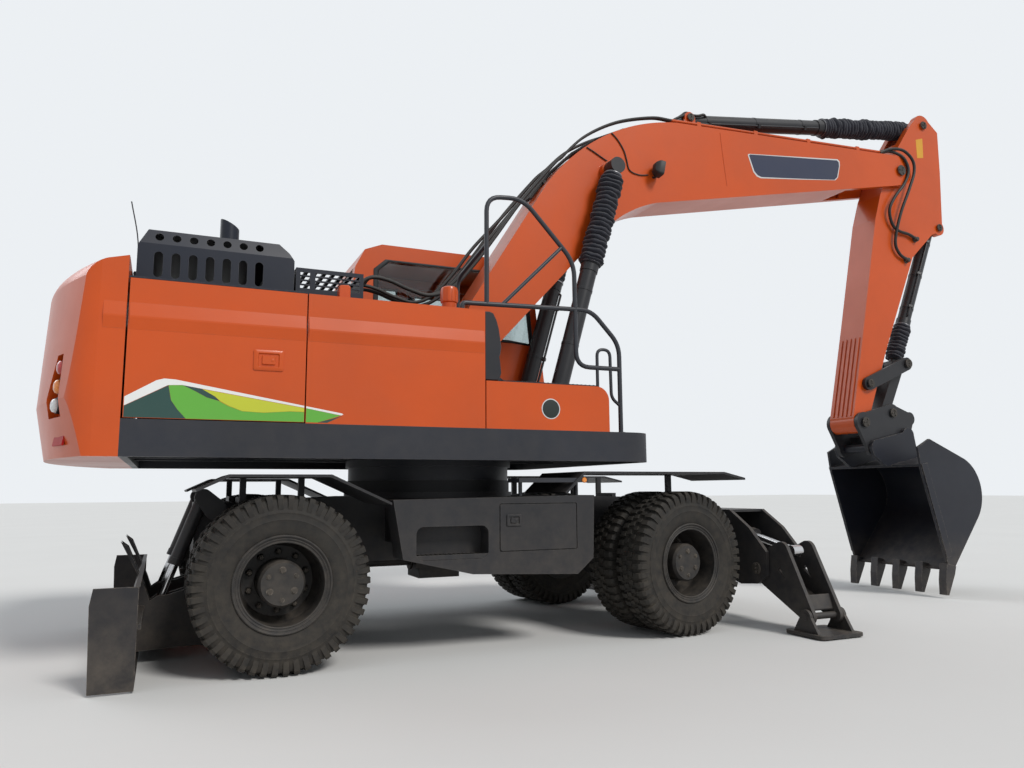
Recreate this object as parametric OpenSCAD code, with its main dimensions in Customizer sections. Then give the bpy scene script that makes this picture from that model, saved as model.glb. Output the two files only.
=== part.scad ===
// Wheeled excavator: twin-tyred chassis with rear blade and front outriggers,
// slewing upper body with cab, and a boom, arm and bucket worked by cylinders.
// Millimetres. X points forward, Y to the machine's left, Z up.
// The origin is on the ground, under the centre of the slewing ring.

/* [Wheels] */
// distance between the axles
wheelbase = 2850; // [2700:10:3000]
// rear axle behind the slewing centre
rear_axle_back = 1290; // [1200:10:1350]
// tyre diameter over the lugs
tyre_diameter = 1055; // [1000:5:1100]
// width of one tyre
tyre_width = 270; // [250:5:290]
// distance between the two tyres of a pair, centre to centre
twin_spacing = 325; // [310:5:340]
// width over the outer tyres
width_over_tyres = 2490; // [2450:5:2500]
// rim diameter
rim_diameter = 508; // [480:2:530]
// kingpin distance from the centre plane
kingpin_side = 600; // [580:5:620]
// steering angle as parked, to the left
steer_rest = 8.6; // [0:0.1:12]

/* [Chassis] */
// half width of the central frame
frame_half = 290; // [260:5:310]
// underside of the slewing ring
ring_bottom = 1060; // [1040:5:1080]
// outer diameter of the slewing ring
ring_diameter = 1300; // [1200:10:1350]
// plate thickness of the heavy brackets
plate = 30; // [20:1:40]
// centre of the outriggers ahead of the slewing centre
outrigger_x = 2540; // [2500:5:2600]
// width of an outrigger leg along the machine
leg_width = 290; // [260:5:300]

/* [Upper body] */
// underside of the upper body
deck_bottom = 1273; // [1265:1:1290]
// height of the side skirts
skirt_height = 212; // [180:1:230]
// half width of the upper body
body_half = 1250; // [1230:1:1260]
// tail swing radius
tail_radius = 2750; // [2650:10:2800]
// top of the side panels
panel_top = 2296; // [2250:1:2350]
// top of the cab
roof_top = 3190; // [3100:5:3250]
// thickness of the body panels
panel = 30; // [20:1:45]

/* [Digging arm] */
// sideways place of the boom, to the right
boom_side = -110; // [-140:5:-80]
// half width of the boom
boom_half = 215; // [200:5:230]
// half width of the arm
arm_half = 155; // [145:5:165]
// half width of the bucket
bucket_half = 580; // [550:5:620]
// sideways place of the boom cylinders from the boom
boom_cylinder_side = 338; // [325:1:345]
// side gap between a turning boss and the plates beside it
side_gap = 6; // [5:1:10]
// radial clearance of the pins in their bores
pin_gap = 0.05; // [0.02:0.01:0.1]

/* [Hidden] */
axle_z = tyre_diameter / 2;
rear_x = -rear_axle_back;
front_x = wheelbase - rear_axle_back;
outer_tyre_y = width_over_tyres / 2 - tyre_width / 2;
inner_tyre_y = outer_tyre_y - twin_spacing;
skirt_top = deck_bottom + skirt_height;
// radii of a wheel: bead of the tyre, hub cover, spindle and ring of studs
bead = rim_diameter / 2 + 8;
hub_radius = 138;
spindle_radius = 62;
stud_circle = 178;
// inner face, outer face of the hub and end of the spindle, from the centre plane
hub_inner = inner_tyre_y - 40;
hub_outer = outer_tyre_y + 85;
spindle_end = outer_tyre_y + 40;
// pin centres in the boom plane, as [x, z]
boom_foot = [250, 1950];
boom_cyl_foot = [880, 1590];
boom_cyl_eye = [1560, 3905];
boom_tip = [5325, 4545];
arm_cyl_foot = [2570, 4668];
arm_cyl_eye = [5815, 5190];
arm_tip = [4545, 1735];
bucket_cyl_foot = [5950, 3990];
lever_pin = [4660, 2140];
lever_tip = [5230, 2380];
link_pin = [4950, 1842];
hook_front = [4655, 1478];
hook_rear = [5110, 1610];
// blade and outrigger pins: blade as [x, z], outrigger as [distance from the centre plane, z]
blade_pivot = [-1560, 430];
blade_cyl_top = [-1715, 1040];
blade_cyl_eye = [-1965, 345];
leg_pivot = [1130, 450];
leg_cyl_foot = [430, 790];
leg_cyl_eye = [1350, 590];
foot_pin = [1600, 140];
// boom bracket plates of the deck, out to the ends of the cylinder pins, from the boom plane
bracket_in = boom_half + side_gap;
bracket_out = bracket_in + 30;
cyl_pin_end = boom_cylinder_side + 64;
rod_eye_in = boom_cylinder_side - 70;
// inner and outer wall of the cab
cab_in = 330;
cab_out = body_half - 5;
// inner face of the side levers from the boom plane
lever_in = arm_half + side_gap;
// underside of the frame above the axles, and inner face of the body ahead of the counterweight
saddle_top = 740;
// side plates of the blade's arms and brackets, inner pair of faces from the centre plane
blade_arm_in = 322;
blade_arm_out = 478;
blade_plate = 24;
blade_plates = [-blade_arm_out, -blade_arm_in - blade_plate, blade_arm_in, blade_arm_out - blade_plate];
front_saddle_top = 780;
tail_front = -(tail_radius - 545);
// round back, lip and upper front edge of the bucket, as [x, z]
bucket_back = [5312, 1008];
bucket_back_radius = 383;
bucket_lip = [5181, 258];
bucket_front = [4825, 1300];
// boom outline as [x, z]: ends of its top and under edges, and the two neck corners with the radius that rounds each
top_start = [240, 2580];
top_end = [5236, 4710];
under_start = [495, 2270];
under_end = [5325, 4380];
neck_top = [1431, 4471];
neck_top_radius = 2032;
neck_under = [1768, 3629];
neck_under_radius = 1299;
// how much larger a rounding circle is than its radius, so that it crosses the edges it rounds
round_play = 1.002;
// sheet thickness of the bucket
bucket_sheet = 26;
// hinge lines as plan or side points: side doors, cab door, engine hood
door_hinge = [tail_front + 33, body_half - 15];
cab_hinge = [146, cab_out + 10];
hood_hinge = [tail_front + 10, 2460];
// engine hood: its front and rear, its right and left side, and its top
hood_front = -1245;
hood_rear = tail_front + 25;
hood_right = -960;
hood_left = 760;
hood_top = 2690;
// top of the grille behind the boom
grille_top = 2545;
// round of the counterweight's upright corners and of its top edge
weight_round = 200;
weight_edge = 130;
// depth of the pockets for its tail lamps
lamp_pocket = 70;
// handrail frame: its plane and the radius of its tube
rail_side = -body_half + 100;
rail_tube = 17;
$fn = 48;

// Extrudes an [x, z] outline sideways from y0 to y1.
module side(y0, y1) {
  translate([0, y1, 0]) rotate([90, 0, 0]) linear_extrude(y1 - y0) children();
}

// Extrudes a [y, z] outline forward from x0 to x1.
module across(x0, x1) {
  translate([x0, 0, 0]) rotate([90, 0, 90]) linear_extrude(x1 - x0) children();
}

// A box by its low and high corners.
module block(low, high) {
  translate(low) cube([high[0] - low[0], high[1] - low[1], high[2] - low[2]]);
}

// A box with its four upright edges rounded.
module round_block(low, high, r) {
  translate([0, 0, low[2]]) linear_extrude(high[2] - low[2]) {
    translate([low[0] + r, low[1]]) square([high[0] - low[0] - 2 * r, high[1] - low[1]]);
    translate([low[0], low[1] + r]) square([high[0] - low[0], high[1] - low[1] - 2 * r]);
    for (x = [low[0] + r, high[0] - r], y = [low[1] + r, high[1] - r]) translate([x, y]) circle(r);
  }
}

// A rectangle with rounded corners, by its low and high corners.
module round_square(low, high, r) {
  translate([low[0] + r, low[1]]) square([high[0] - low[0] - 2 * r, high[1] - low[1]]);
  translate([low[0], low[1] + r]) square([high[0] - low[0], high[1] - low[1] - 2 * r]);
  for (x = [low[0] + r, high[0] - r], y = [low[1] + r, high[1] - r]) translate([x, y]) circle(r);
}

// The point where a line from p touches a circle; turn is 1 for the circle's left side and -1 for its right.
function touch(p, centre, r, turn) = let (
  d = norm(centre - p),
  a = atan2(centre[1] - p[1], centre[0] - p[0]) + turn * asin(r / d)) p + sqrt(d * d - r * r) * [cos(a), sin(a)];

// The centre of the circle of radius r that rounds a corner; a and b are points on the corner's two edges.
function round_centre(at, a, b, r) = let (
  u = (a - at) / norm(a - at),
  v = (b - at) / norm(b - at)) at + r / sin(acos(u * v) / 2) * (u + v) / norm(u + v);

// The point on the edge from a corner to a where a round of radius r starts; b is on the corner's other edge.
function round_start(at, a, b, r) = let (
  u = (a - at) / norm(a - at),
  v = (b - at) / norm(b - at)) at + r / tan(acos(u * v) / 2) * u;

// The piece that a round takes off an outer corner, or fills in at an inner one. Its circle is a little larger than
// the round, so that it crosses both edges at a slight angle.
module corner(at, a, b, r) {
  centre = round_centre(at, a, b, r);
  difference() {
    polygon([centre, centre + 1.05 * (round_start(at, a, b, r) - centre), at + 0.1 * (at - centre),
      centre + 1.05 * (round_start(at, b, a, r) - centre)]);
    translate(centre) circle(round_play * r, $fn = 160);
  }
}

// A flat bar between two points, round at both ends, its sides tangent to both rounds.
module bar(a, b, ra, rb) {
  d = norm(b - a);
  turn = atan2(b[1] - a[1], b[0] - a[0]);
  lean = acos((ra - rb) / d);
  translate(a) circle(ra);
  translate(b) circle(rb);
  polygon([
    a + ra * [cos(turn + lean), sin(turn + lean)],
    a + ra * [cos(turn - lean), sin(turn - lean)],
    b + rb * [cos(turn - lean), sin(turn - lean)],
    b + rb * [cos(turn + lean), sin(turn + lean)]]);
}

// A round pin or bore across the machine at an [x, z] point.
module cross_pin(at, r, y0, y1) {
  translate([at[0], y1, at[1]]) rotate([90, 0, 0]) cylinder(r = r, h = y1 - y0);
}

// A round pin or bore along the machine at a [y, z] point.
module long_pin(at, r, x0, x1) {
  translate([x0, at[0], at[1]]) rotate([0, 90, 0]) cylinder(r = r, h = x1 - x0);
}

// A round bar from a to b, both [x, z], in the plane at y, between two distances from a.
module shaft(a, b, y, r, from, to) {
  translate([a[0], y, a[1]]) rotate([0, atan2(b[0] - a[0], b[1] - a[1]), 0])
    translate([0, 0, from]) cylinder(r = r, h = to - from);
}

// The same across the machine: a and b are [y, z] points in the plane at x.
module cross_shaft(a, b, x, r, from, to) {
  translate([x, a[0], a[1]]) rotate([-atan2(b[0] - a[0], b[1] - a[1]), 0, 0])
    translate([0, 0, from]) cylinder(r = r, h = to - from);
}

// Draws its children in the steered frame of a front wheel; side is 1 on the left and -1 on the right.
module steered(hand) {
  translate([front_x, hand * kingpin_side, 0]) rotate([0, 0, steer_rest]) children();
}

// Tyre section as [radius, half width], turned about the axle.
module tyre() {
  r = tyre_diameter / 2;
  w = tyre_width / 2;
  rotate([90, 0, 0]) rotate_extrude($fn = 96) polygon([
    [bead, -w + 35], [bead + 30, -w + 18], [r - 170, -w + 4], [r - 110, -w], [r - 60, -w + 8], [r - 8, -w + 30],
    [r, -w + 60], [r, w - 60], [r - 8, w - 30], [r - 60, w - 8], [r - 110, w], [r - 170, w - 4],
    [bead + 30, w - 18], [bead, w - 35]]);
}

// Twin tyres of one wheel, drawn about the kingpin or the centre plane at base_y.
module tyre_pair(hand, base_y) {
  for (y = [inner_tyre_y, outer_tyre_y]) translate([0, hand * (y - base_y), axle_z]) tyre();
}

// One rim with its dished disc, about its own centre; the disc dips to the joint with its twin.
module rim() {
  w = tyre_width / 2 - 35;
  wall = bead - 16;
  dip = -twin_spacing / 2;
  lip = 29 * 17 / 30 + 0.1;
  rotate_extrude($fn = 96) {
    polygon([[bead, -w], [bead + 29, -w - lip], [bead + 29, -w - 24], [wall, -w - 14], [wall, w + 14],
      [bead + 29, w + 24], [bead + 29, w + lip], [bead, w]]);
    polygon([[wall + 2, -62], [wall + 2, -82], [wall - 20, dip], [hub_radius - 30, dip], [hub_radius - 30, dip + 16],
      [wall - 32, dip + 16]]);
  }
}

// Twin rims bolted back to back on the hub, with the planetary cover; y grows outward.
module rim_pair(hand, base_y) {
  middle = (inner_tyre_y + outer_tyre_y) / 2;
  translate([0, -hand * base_y, axle_z]) rotate([hand > 0 ? -90 : 90, 0, 0]) difference() {
    union() {
      translate([0, 0, outer_tyre_y]) rim();
      translate([0, 0, inner_tyre_y]) mirror([0, 0, 1]) rim();
      translate([0, 0, hub_inner]) cylinder(r = 165, h = middle - hub_inner);
      translate([0, 0, middle]) cylinder(r = hub_radius, h = hub_outer - 22 - middle);
      translate([0, 0, hub_outer - 22]) cylinder(r1 = hub_radius, r2 = hub_radius - 14, h = 22);
      for (a = [18 : 36 : 342]) rotate(a) translate([stud_circle, 0, middle]) cylinder(r = 15, h = 42, $fn = 6);
    }
    translate([0, 0, hub_inner - 1]) cylinder(r = spindle_radius + pin_gap, h = spindle_end + 4 - hub_inner + 1);
  }
}

// Spindle that a wheel turns on; y grows outward from base_y.
module spindle(hand, base_y, from) {
  translate([0, hand * (from - base_y), axle_z]) rotate([hand > 0 ? -90 : 90, 0, 0]) {
    cylinder(r = 105, h = hub_inner - side_gap - from);
    cylinder(r = spindle_radius, h = spindle_end - from);
  }
}

// Chassis
module chassis_frame() {
  color("#3a3b3d") difference() {
    union() {
      // side members with the cranked line of the frame
      for (s = [-1, 1]) side(s > 0 ? frame_half - plate : -frame_half, s > 0 ? frame_half : -frame_half + plate)
        polygon([[-1760, 640], [-1640, 340], [-1480, 340], [rear_x - 110, saddle_top], [rear_x + 110, saddle_top],
          [-1090, 750], [-700, 560], [700, 560], [1200, front_saddle_top], [1900, front_saddle_top], [2100, 560],
          [2380, 480], [2380, 960], [2100, 1000], [700, ring_bottom - 25], [-700, ring_bottom - 25], [-1500, 1000],
          [-1760, 1000]]);
      // top and bottom plates
      block([-1760, -frame_half, 975], [2380, frame_half, 1000]);
      block([-700, -frame_half, 600], [700, frame_half, 625]);
      // cross members that carry the axles
      block([rear_x - 110, -frame_half, saddle_top], [rear_x + 110, frame_half, saddle_top + 40]);
      block([front_x - 120, -frame_half, front_saddle_top], [front_x + 120, frame_half, front_saddle_top + 60]);
      block([-1760, -frame_half, 640], [-1735, frame_half, 1000]);
      // raised seat of the slewing ring
      translate([0, 0, ring_bottom - 40]) cylinder(d = ring_diameter + 40, h = 40);
      translate([0, 0, 700]) cylinder(d = 2 * frame_half + 260, h = ring_bottom - 700);
      // wings that carry the side boxes
      for (x = [-430, 530]) block([x, -1010, 700], [x + plate, 1010, 960]);
      // blade brackets
      block([-1650, -blade_arm_out, 960], [-1600, blade_arm_out, 1000]);
      for (y = blade_plates) side(y, y + blade_plate) bar([-1640, 960], blade_cyl_top, 70, 55);
      for (s = [-1, 1]) cross_pin(blade_cyl_top, 24, s * 400 - 78, s * 400 + 78);
      cross_pin(blade_pivot, 45, -blade_arm_out - 6, blade_arm_out + 6);
      // outrigger box: two plates across the machine
      for (x = [outrigger_x - leg_width / 2 - 10 - plate, outrigger_x + leg_width / 2 + 10]) across(x, x + plate)
        polygon([[15 - body_half, 580], [25 - body_half, 400], [-1130, 330], [-930, 310], [-300, 480], [300, 480],
          [930, 310], [1130, 330], [body_half - 25, 400], [body_half - 15, 580], [1050, 760], [820, 900],
          [-820, 900], [-1050, 760]]);
      across(outrigger_x - leg_width / 2 - 10, outrigger_x + leg_width / 2 + 10)
        polygon([[-330, 480], [330, 480], [330, 505], [-330, 505]]);
      block([outrigger_x - leg_width / 2 - 10, -820, 880], [outrigger_x + leg_width / 2 + 10, 820, 900]);
      for (s = [-1, 1]) {
        long_pin([s * leg_pivot[0], leg_pivot[1]], 35, outrigger_x - 190, outrigger_x + 190);
        long_pin([s * leg_cyl_foot[0], leg_cyl_foot[1]], 25, outrigger_x - 160, outrigger_x + 160);
      }
    }
    // open ends of the blade pin
    cross_pin(blade_pivot, 12, -blade_arm_out - 7, blade_arm_out + 7);
  }
}

module slew_ring() {
  color("#2c2d2f") difference() {
    translate([0, 0, ring_bottom]) cylinder(d = ring_diameter, h = 90);
    translate([0, 0, ring_bottom - 1]) cylinder(d = ring_diameter - 260, h = 92);
  }
}

module rear_axle() {
  color("#333436") {
    translate([rear_x, 0, axle_z]) {
      rotate([90, 0, 0]) cylinder(r = 95, h = 2 * (inner_tyre_y - 80), center = true);
      sphere(r = 205);
      rotate([0, 90, 0]) cylinder(r = 70, h = 225);
      for (s = [-1, 1]) translate([-100, s * 235 - 55, 0]) cube([200, 110, saddle_top - axle_z]);
    }
    for (s = [-1, 1]) translate([rear_x, 0, 0]) spindle(s, 0, inner_tyre_y - 110);
  }
}

module front_axle() {
  color("#333436") difference() {
    union() {
      translate([front_x, 0, axle_z]) {
        rotate([90, 0, 0]) cylinder(r = 90, h = 2 * (kingpin_side - 130), center = true);
        sphere(r = 200);
        rotate([0, -90, 0]) cylinder(r = 70, h = 220);
        translate([-110, -120, 0]) cube([220, 240, front_saddle_top - axle_z]);
      }
      // forks that hold the kingpins
      for (s = [-1, 1]) translate([front_x, s * kingpin_side, axle_z]) {
        translate([-45, s > 0 ? -130 : 70, -165]) cube([90, 60, 330]);
        for (z = [-165, 125]) {
          translate([0, 0, z]) cylinder(r = 70, h = 40);
          translate([-45, s > 0 ? -130 : 0, z]) cube([90, 130, 40]);
        }
      }
      // steering cylinder ahead of the beam
      translate([front_x + 190, 0, axle_z + 20]) rotate([90, 0, 0]) cylinder(r = 48, h = 420, center = true);
      translate([front_x + 190, 0, axle_z + 20]) rotate([90, 0, 0]) cylinder(r = 20, h = 640, center = true);
      for (y = [-120, 80]) translate([front_x, y, axle_z - 20]) cube([190, 40, 60]);
    }
    for (s = [-1, 1]) translate([front_x, s * kingpin_side, axle_z - 200]) cylinder(r = 30 + pin_gap, h = 400);
  }
}

module driveline() {
  color("#2b2c2e") {
    translate([-150, -170, 480]) cube([420, 340, 120]);
    translate([-120, -150, 400]) cube([330, 300, 80]);
    translate([rear_x + 225, 0, axle_z]) rotate([0, 90, 0]) cylinder(r = 38, h = -rear_x - 225 - 150);
    translate([270, 0, axle_z]) rotate([0, 90, 0]) cylinder(r = 38, h = front_x - 270 - 220);
    for (x = [-160, 262]) translate([x, 0, axle_z]) rotate([0, 90, 0]) cylinder(r = 70, h = 18);
  }
}

// Side boxes: toolbox with a step opening on the right, the same on the left
module side_boxes() {
  color("#3a3b3d") for (s = [-1, 1]) difference() {
    side(s > 0 ? 1010 : 20 - body_half, s > 0 ? body_half - 20 : -1010)
      polygon([[-630, 1015], [830, 1035], [815, 600], [690, 495], [-90, 530], [-560, 640]]);
    // step opening, and the shallow recess of the locker door
    side(s > 0 ? 1080 : -body_half, s > 0 ? body_half : -1080) round_square([-476, 629], [22, 843], 50);
    side(s > 0 ? body_half - 28 : -body_half, s > 0 ? body_half : 28 - body_half)
      round_square([100, 665], [690, 985], 12);
  }
}

module mudguards() {
  color("#353638") for (s = [-1, 1]) {
    side(s > 0 ? 560 : 10 - body_half, s > 0 ? body_half - 10 : -560)
      polygon([[-1790, 1075], [-1610, 1160], [-1026, 1160], [-640, 985], [-640, 1000], [-1020, 1176], [-1616, 1176],
        [-1797, 1090]]);
    side(s > 0 ? 560 : 10 - body_half, s > 0 ? body_half - 10 : -560)
      polygon([[610, 1045], [760, 1185], [1980, 1185], [2180, 1140], [2180, 1156], [1982, 1201], [752, 1201], [598, 1057]]);
    // stays from the frame
    for (x = [-1500, -1120]) block([x, s > 0 ? frame_half : -600, 1001], [x + 40, s > 0 ? 600 : -frame_half, 1040]);
    for (x = [-1500, -1120]) block([x, s > 0 ? 560 : -600, 1001], [x + 40, s > 0 ? 600 : -560, 1165]);
    for (x = [1000, 1900]) block([x, s > 0 ? frame_half : -600, 1001], [x + 40, s > 0 ? 600 : -frame_half, 1040]);
    for (x = [1000, 1900]) block([x, s > 0 ? 560 : -600, 1001], [x + 40, s > 0 ? 600 : -560, 1190]);
  }
}

// Steering knuckle: hub carrier on the kingpin with its steering arm
module knuckle(hand) {
  color("#333436") steered(hand) {
    translate([0, 0, axle_z - 175]) cylinder(r = 30, h = 350);
    translate([0, 0, axle_z - 119]) cylinder(r = 62, h = 238);
    spindle(hand, kingpin_side, kingpin_side);
    rotate(hand > 0 ? -14 : 14) translate([0, -16, axle_z - 60]) cube([200, 32, 40]);
  }
}
module knuckle_left() { knuckle(1); }
module knuckle_right() { knuckle(-1); }

module tyres_front_left() { color("#1d1d1d") steered(1) tyre_pair(1, kingpin_side); }
module tyres_front_right() { color("#1d1d1d") steered(-1) tyre_pair(-1, kingpin_side); }
module tyres_rear_left() { color("#1d1d1d") translate([rear_x, 0, 0]) tyre_pair(1, 0); }
module tyres_rear_right() { color("#1d1d1d") translate([rear_x, 0, 0]) tyre_pair(-1, 0); }
module rims_front_left() { color("#4a4b4d") steered(1) rim_pair(1, kingpin_side); }
module rims_front_right() { color("#4a4b4d") steered(-1) rim_pair(-1, kingpin_side); }
module rims_rear_left() { color("#4a4b4d") translate([rear_x, 0, 0]) rim_pair(1, 0); }
module rims_rear_right() { color("#4a4b4d") translate([rear_x, 0, 0]) rim_pair(-1, 0); }

// Blade with its two box arms, end plates and the peaked stiffeners above the arms
module blade() {
  color("#2e2f31") difference() {
    union() {
      for (y = blade_plates) side(y, y + blade_plate) {
        polygon([[-1560, 350], [-1690, 95], [-2080, 80], [-2112, 200], [-2090, 560], [-2195, 765], [-2150, 730],
          [-2040, 470], [-2010, 385], [-1960, 420], [-1900, 420], [-1560, 520]]);
        translate(blade_pivot) circle(90);
      }
      for (s = [-1, 1]) block([-1900, s * 400 - 78, 90], [-1650, s * 400 + 78, 110]);
      // curved face plate, as two bent strips
      side(-body_half + 20, body_half - 20)
        polygon([[-2060, 12], [-2085, 12], [-2120, 120], [-2128, 300], [-2105, 480], [-2080, 560], [-2055, 560],
          [-2082, 480], [-2100, 300], [-2093, 120]]);
      side(-body_half, -body_half + 20) blade_end();
      side(body_half - 20, body_half) blade_end();
      block([-2110, -body_half + 20, 330], [-2040, body_half - 20, 360]);
    }
    cross_pin(blade_pivot, 45 + pin_gap, -480, 480);
    for (s = [-1, 1]) block([-2035, s * 400 - 54, 200], [-1850, s * 400 + 54, 800]);
  }
}

module blade_end() {
  polygon([[-2060, 10], [-2285, 10], [-2300, 470], [-2285, 560], [-2060, 560]]);
}

module blade_barrels() {
  color("#2b2c2e") for (y = [-400, 400]) difference() {
    union() {
      cross_pin(blade_cyl_top, 50, y - 48, y + 48);
      shaft(blade_cyl_top, blade_cyl_eye, y, 44, 30, 450);
      shaft(blade_cyl_top, blade_cyl_eye, y, 48, 420, 465);
    }
    cross_pin(blade_cyl_top, 24 + pin_gap, y - 49, y + 49);
    shaft(blade_cyl_top, blade_cyl_eye, y, 27.3, 75, 480);
  }
}

module blade_rods() {
  reach = norm(blade_cyl_eye - blade_cyl_top);
  color("#9a9c9e") for (y = [-400, 400]) {
    shaft(blade_cyl_top, blade_cyl_eye, y, 27, 330, reach - 20);
    cross_pin(blade_cyl_eye, 42, y - 48, y + 48);
  }
}

// Outrigger leg: two plates with a web, turning on a pin through the outrigger box
module leg(hand) {
  x0 = outrigger_x - leg_width / 2;
  x1 = outrigger_x + leg_width / 2;
  color("#3a3b3d") mirror([0, hand > 0 ? 0 : 1, 0]) difference() {
    union() {
      for (x = [x0, x1 - plate]) across(x, x + plate) {
        bar(leg_pivot, leg_cyl_eye, 110, 75);
        bar(leg_cyl_eye, foot_pin, 75, 55);
        bar(leg_pivot, foot_pin, 110, 55);
      }
      across(x0, x1) bar(leg_pivot + [60, -95], foot_pin + [-58, 48], 14, 14);
      across(x0, x1) bar(leg_pivot + [420, -175], foot_pin + [-20, 46], 12, 12);
      long_pin(foot_pin, 24, x0 - 36, x1 + 36);
    }
    long_pin(leg_pivot, 35 + pin_gap, x0 - 1, x1 + 1);
  }
}
module leg_left() { leg(1); }
module leg_right() { leg(-1); }

module leg_barrel(hand) {
  color("#2b2c2e") mirror([0, hand > 0 ? 0 : 1, 0]) difference() {
    union() {
      long_pin(leg_cyl_foot, 48, outrigger_x - 45, outrigger_x + 45);
      cross_shaft(leg_cyl_foot, leg_cyl_eye, outrigger_x, 52, 30, 470);
      cross_shaft(leg_cyl_foot, leg_cyl_eye, outrigger_x, 60, 450, 495);
    }
    long_pin(leg_cyl_foot, 25 + pin_gap, outrigger_x - 46, outrigger_x + 46);
    cross_shaft(leg_cyl_foot, leg_cyl_eye, outrigger_x, 30.3, 62, 500);
  }
}
module leg_barrel_left() { leg_barrel(1); }
module leg_barrel_right() { leg_barrel(-1); }

module leg_rod(hand) {
  reach = norm(leg_cyl_eye - leg_cyl_foot);
  color("#9a9c9e") mirror([0, hand > 0 ? 0 : 1, 0]) {
    cross_shaft(leg_cyl_foot, leg_cyl_eye, outrigger_x, 30, 452, reach - 20);
    long_pin(leg_cyl_eye, 45, outrigger_x - 45, outrigger_x + 45);
  }
}
module leg_rod_left() { leg_rod(1); }
module leg_rod_right() { leg_rod(-1); }

module pad(hand) {
  color("#343537") mirror([0, hand > 0 ? 0 : 1, 0]) difference() {
    union() {
      round_block([outrigger_x - 205, foot_pin[0] - 190, 8], [outrigger_x + 205, foot_pin[0] + 190, 32], 40);
      for (x = [outrigger_x - leg_width / 2 - 30, outrigger_x + leg_width / 2 + 6]) across(x, x + 24) {
        translate(foot_pin) circle(52);
        polygon([foot_pin + [-52, 0], foot_pin + [52, 0], [foot_pin[0] + 120, 31], [foot_pin[0] - 120, 31]]);
      }
    }
    long_pin(foot_pin, 24 + pin_gap, outrigger_x - 200, outrigger_x + 200);
  }
}
module pad_left() { pad(1); }
module pad_right() { pad(-1); }

// Upper body: floor plate with side skirts, centre beams and the boom brackets
module deck() {
  color("#2f3032") difference() {
    union() {
      difference() {
        deck_outline(deck_bottom, skirt_top, 0);
        deck_outline(deck_bottom - 1, skirt_top - 40, 45);
      }
      translate([0, 0, deck_bottom - 20]) cylinder(d = ring_diameter + 20, h = 60);
      translate([0, 0, ring_bottom + 90.3]) cylinder(d = ring_diameter - 20, h = deck_bottom - ring_bottom - 90.3);
      for (s = [-1, 1]) translate([door_hinge[0], s * door_hinge[1], skirt_top - 20]) cylinder(r = 6, h = 50);
      for (y = [-bracket_out, bracket_in]) side(boom_side + y, boom_side + y + bracket_out - bracket_in)
        union() {
          bar(boom_foot, boom_cyl_foot, 150, 95);
          polygon([[tail_front + 25, 1300], [tail_front + 25, 1470], [-1250, 1470], [-450, 1560], [105, 1960],
            [400, 2000], [960, 1640], [1190, 1470], [1190, 1300]]);
        }
      cross_pin(boom_foot, 50, boom_side - bracket_out - 10, boom_side + bracket_out + 10);
      for (s = [-1, 1]) cross_pin(boom_cyl_foot, 40, boom_side + (s > 0 ? bracket_in : -cyl_pin_end),
        boom_side + (s > 0 ? cyl_pin_end : -bracket_in));
    }
  }
}

// Plan of the deck, inset by a margin, between two heights; its front corners are rounded
module deck_outline(z0, z1, inset) {
  front = 1370 - inset;
  back = tail_front + inset;
  half = body_half - inset;
  r = 220 - inset;
  translate([0, 0, z0]) linear_extrude(z1 - z0) {
    translate([back, -half]) square([front - r - back, 2 * half]);
    translate([front - r - 1, -half + r]) square([r + 1, 2 * half - 2 * r]);
    for (s = [-1, 1]) translate([front - r, s * (half - r)]) circle(r);
  }
}

// Counterweight: one casting, round in plan, with rounded upright corners and a round along its top edge
module counterweight() {
  corner_x = -sqrt(pow(tail_radius - weight_round, 2) - pow(body_half - weight_round, 2));
  rear_half = (body_half - weight_round) * tail_radius / (tail_radius - weight_round);
  top = panel_top + 142;
  // widest line, and where the sloping top starts and ends, as [radius, height]
  waist = [tail_radius, deck_bottom + 327];
  brow = [tail_radius - 42, top - 63];
  crown = [tail_radius - 260, top];
  color("#e8501e") difference() {
    intersection() {
      // the tail's round, which tapers up and down from its widest line
      rotate_extrude($fn = 160) difference() {
        polygon([[0, deck_bottom], [tail_radius - 60, deck_bottom], waist, brow, crown, [0, top]]);
        corner(brow, waist, crown, weight_edge);
      }
      // its plan, with a round at each side corner
      translate([0, 0, deck_bottom - 10]) linear_extrude(1400) intersection() {
        translate([-tail_radius - 10, -body_half]) square([tail_front + tail_radius + 10, 2 * body_half]);
        union() {
          translate([corner_x, -body_half - 10]) square([tail_front - corner_x, 2 * body_half + 20]);
          translate([-tail_radius - 10, -rear_half]) square([tail_front + tail_radius + 10, 2 * rear_half]);
          for (s = [-1, 1]) translate([corner_x, s * (body_half - weight_round)])
            circle(r = 1.004 * weight_round, $fn = 96);
        }
      }
    }
    // a pocket for the tail lamps at each rear corner, as [sideways, height] points
    for (s = [-1, 1]) rotate(-s * 20.5) across(-tail_radius - 10, -tail_radius + lamp_pocket)
      polygon([for (p = [[115, 1500], [-115, 1500], [-115, 1620], [20, 1860], [115, 1860]]) [s * p[0], p[1]]]);
  }
}

// Right side: tank behind the front box, and the rear door
module fuel_tank() {
  color("#e8501e") block([-1192, -body_half, skirt_top], [-8, -700, panel_top]);
}

module front_box() {
  color("#e8501e") side(-body_half, -760)
    union() {
      polygon([[0, skirt_top], [960, skirt_top], [960, 1700], [860, 1810], [0, 1810]]);
      translate([860, 1710]) circle(100);
    }
}

module rear_door() {
  color("#e8501e") difference() {
    block([tail_front + 11, -body_half, skirt_top + 6], [-1200, -body_half + panel, panel_top - 2]);
    translate([door_hinge[0], -door_hinge[1], skirt_top]) cylinder(r = 6 + pin_gap, h = 32);
    translate([door_hinge[0], -door_hinge[1], panel_top - 40]) cylinder(r = 6 + pin_gap, h = 40);
  }
}

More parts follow.
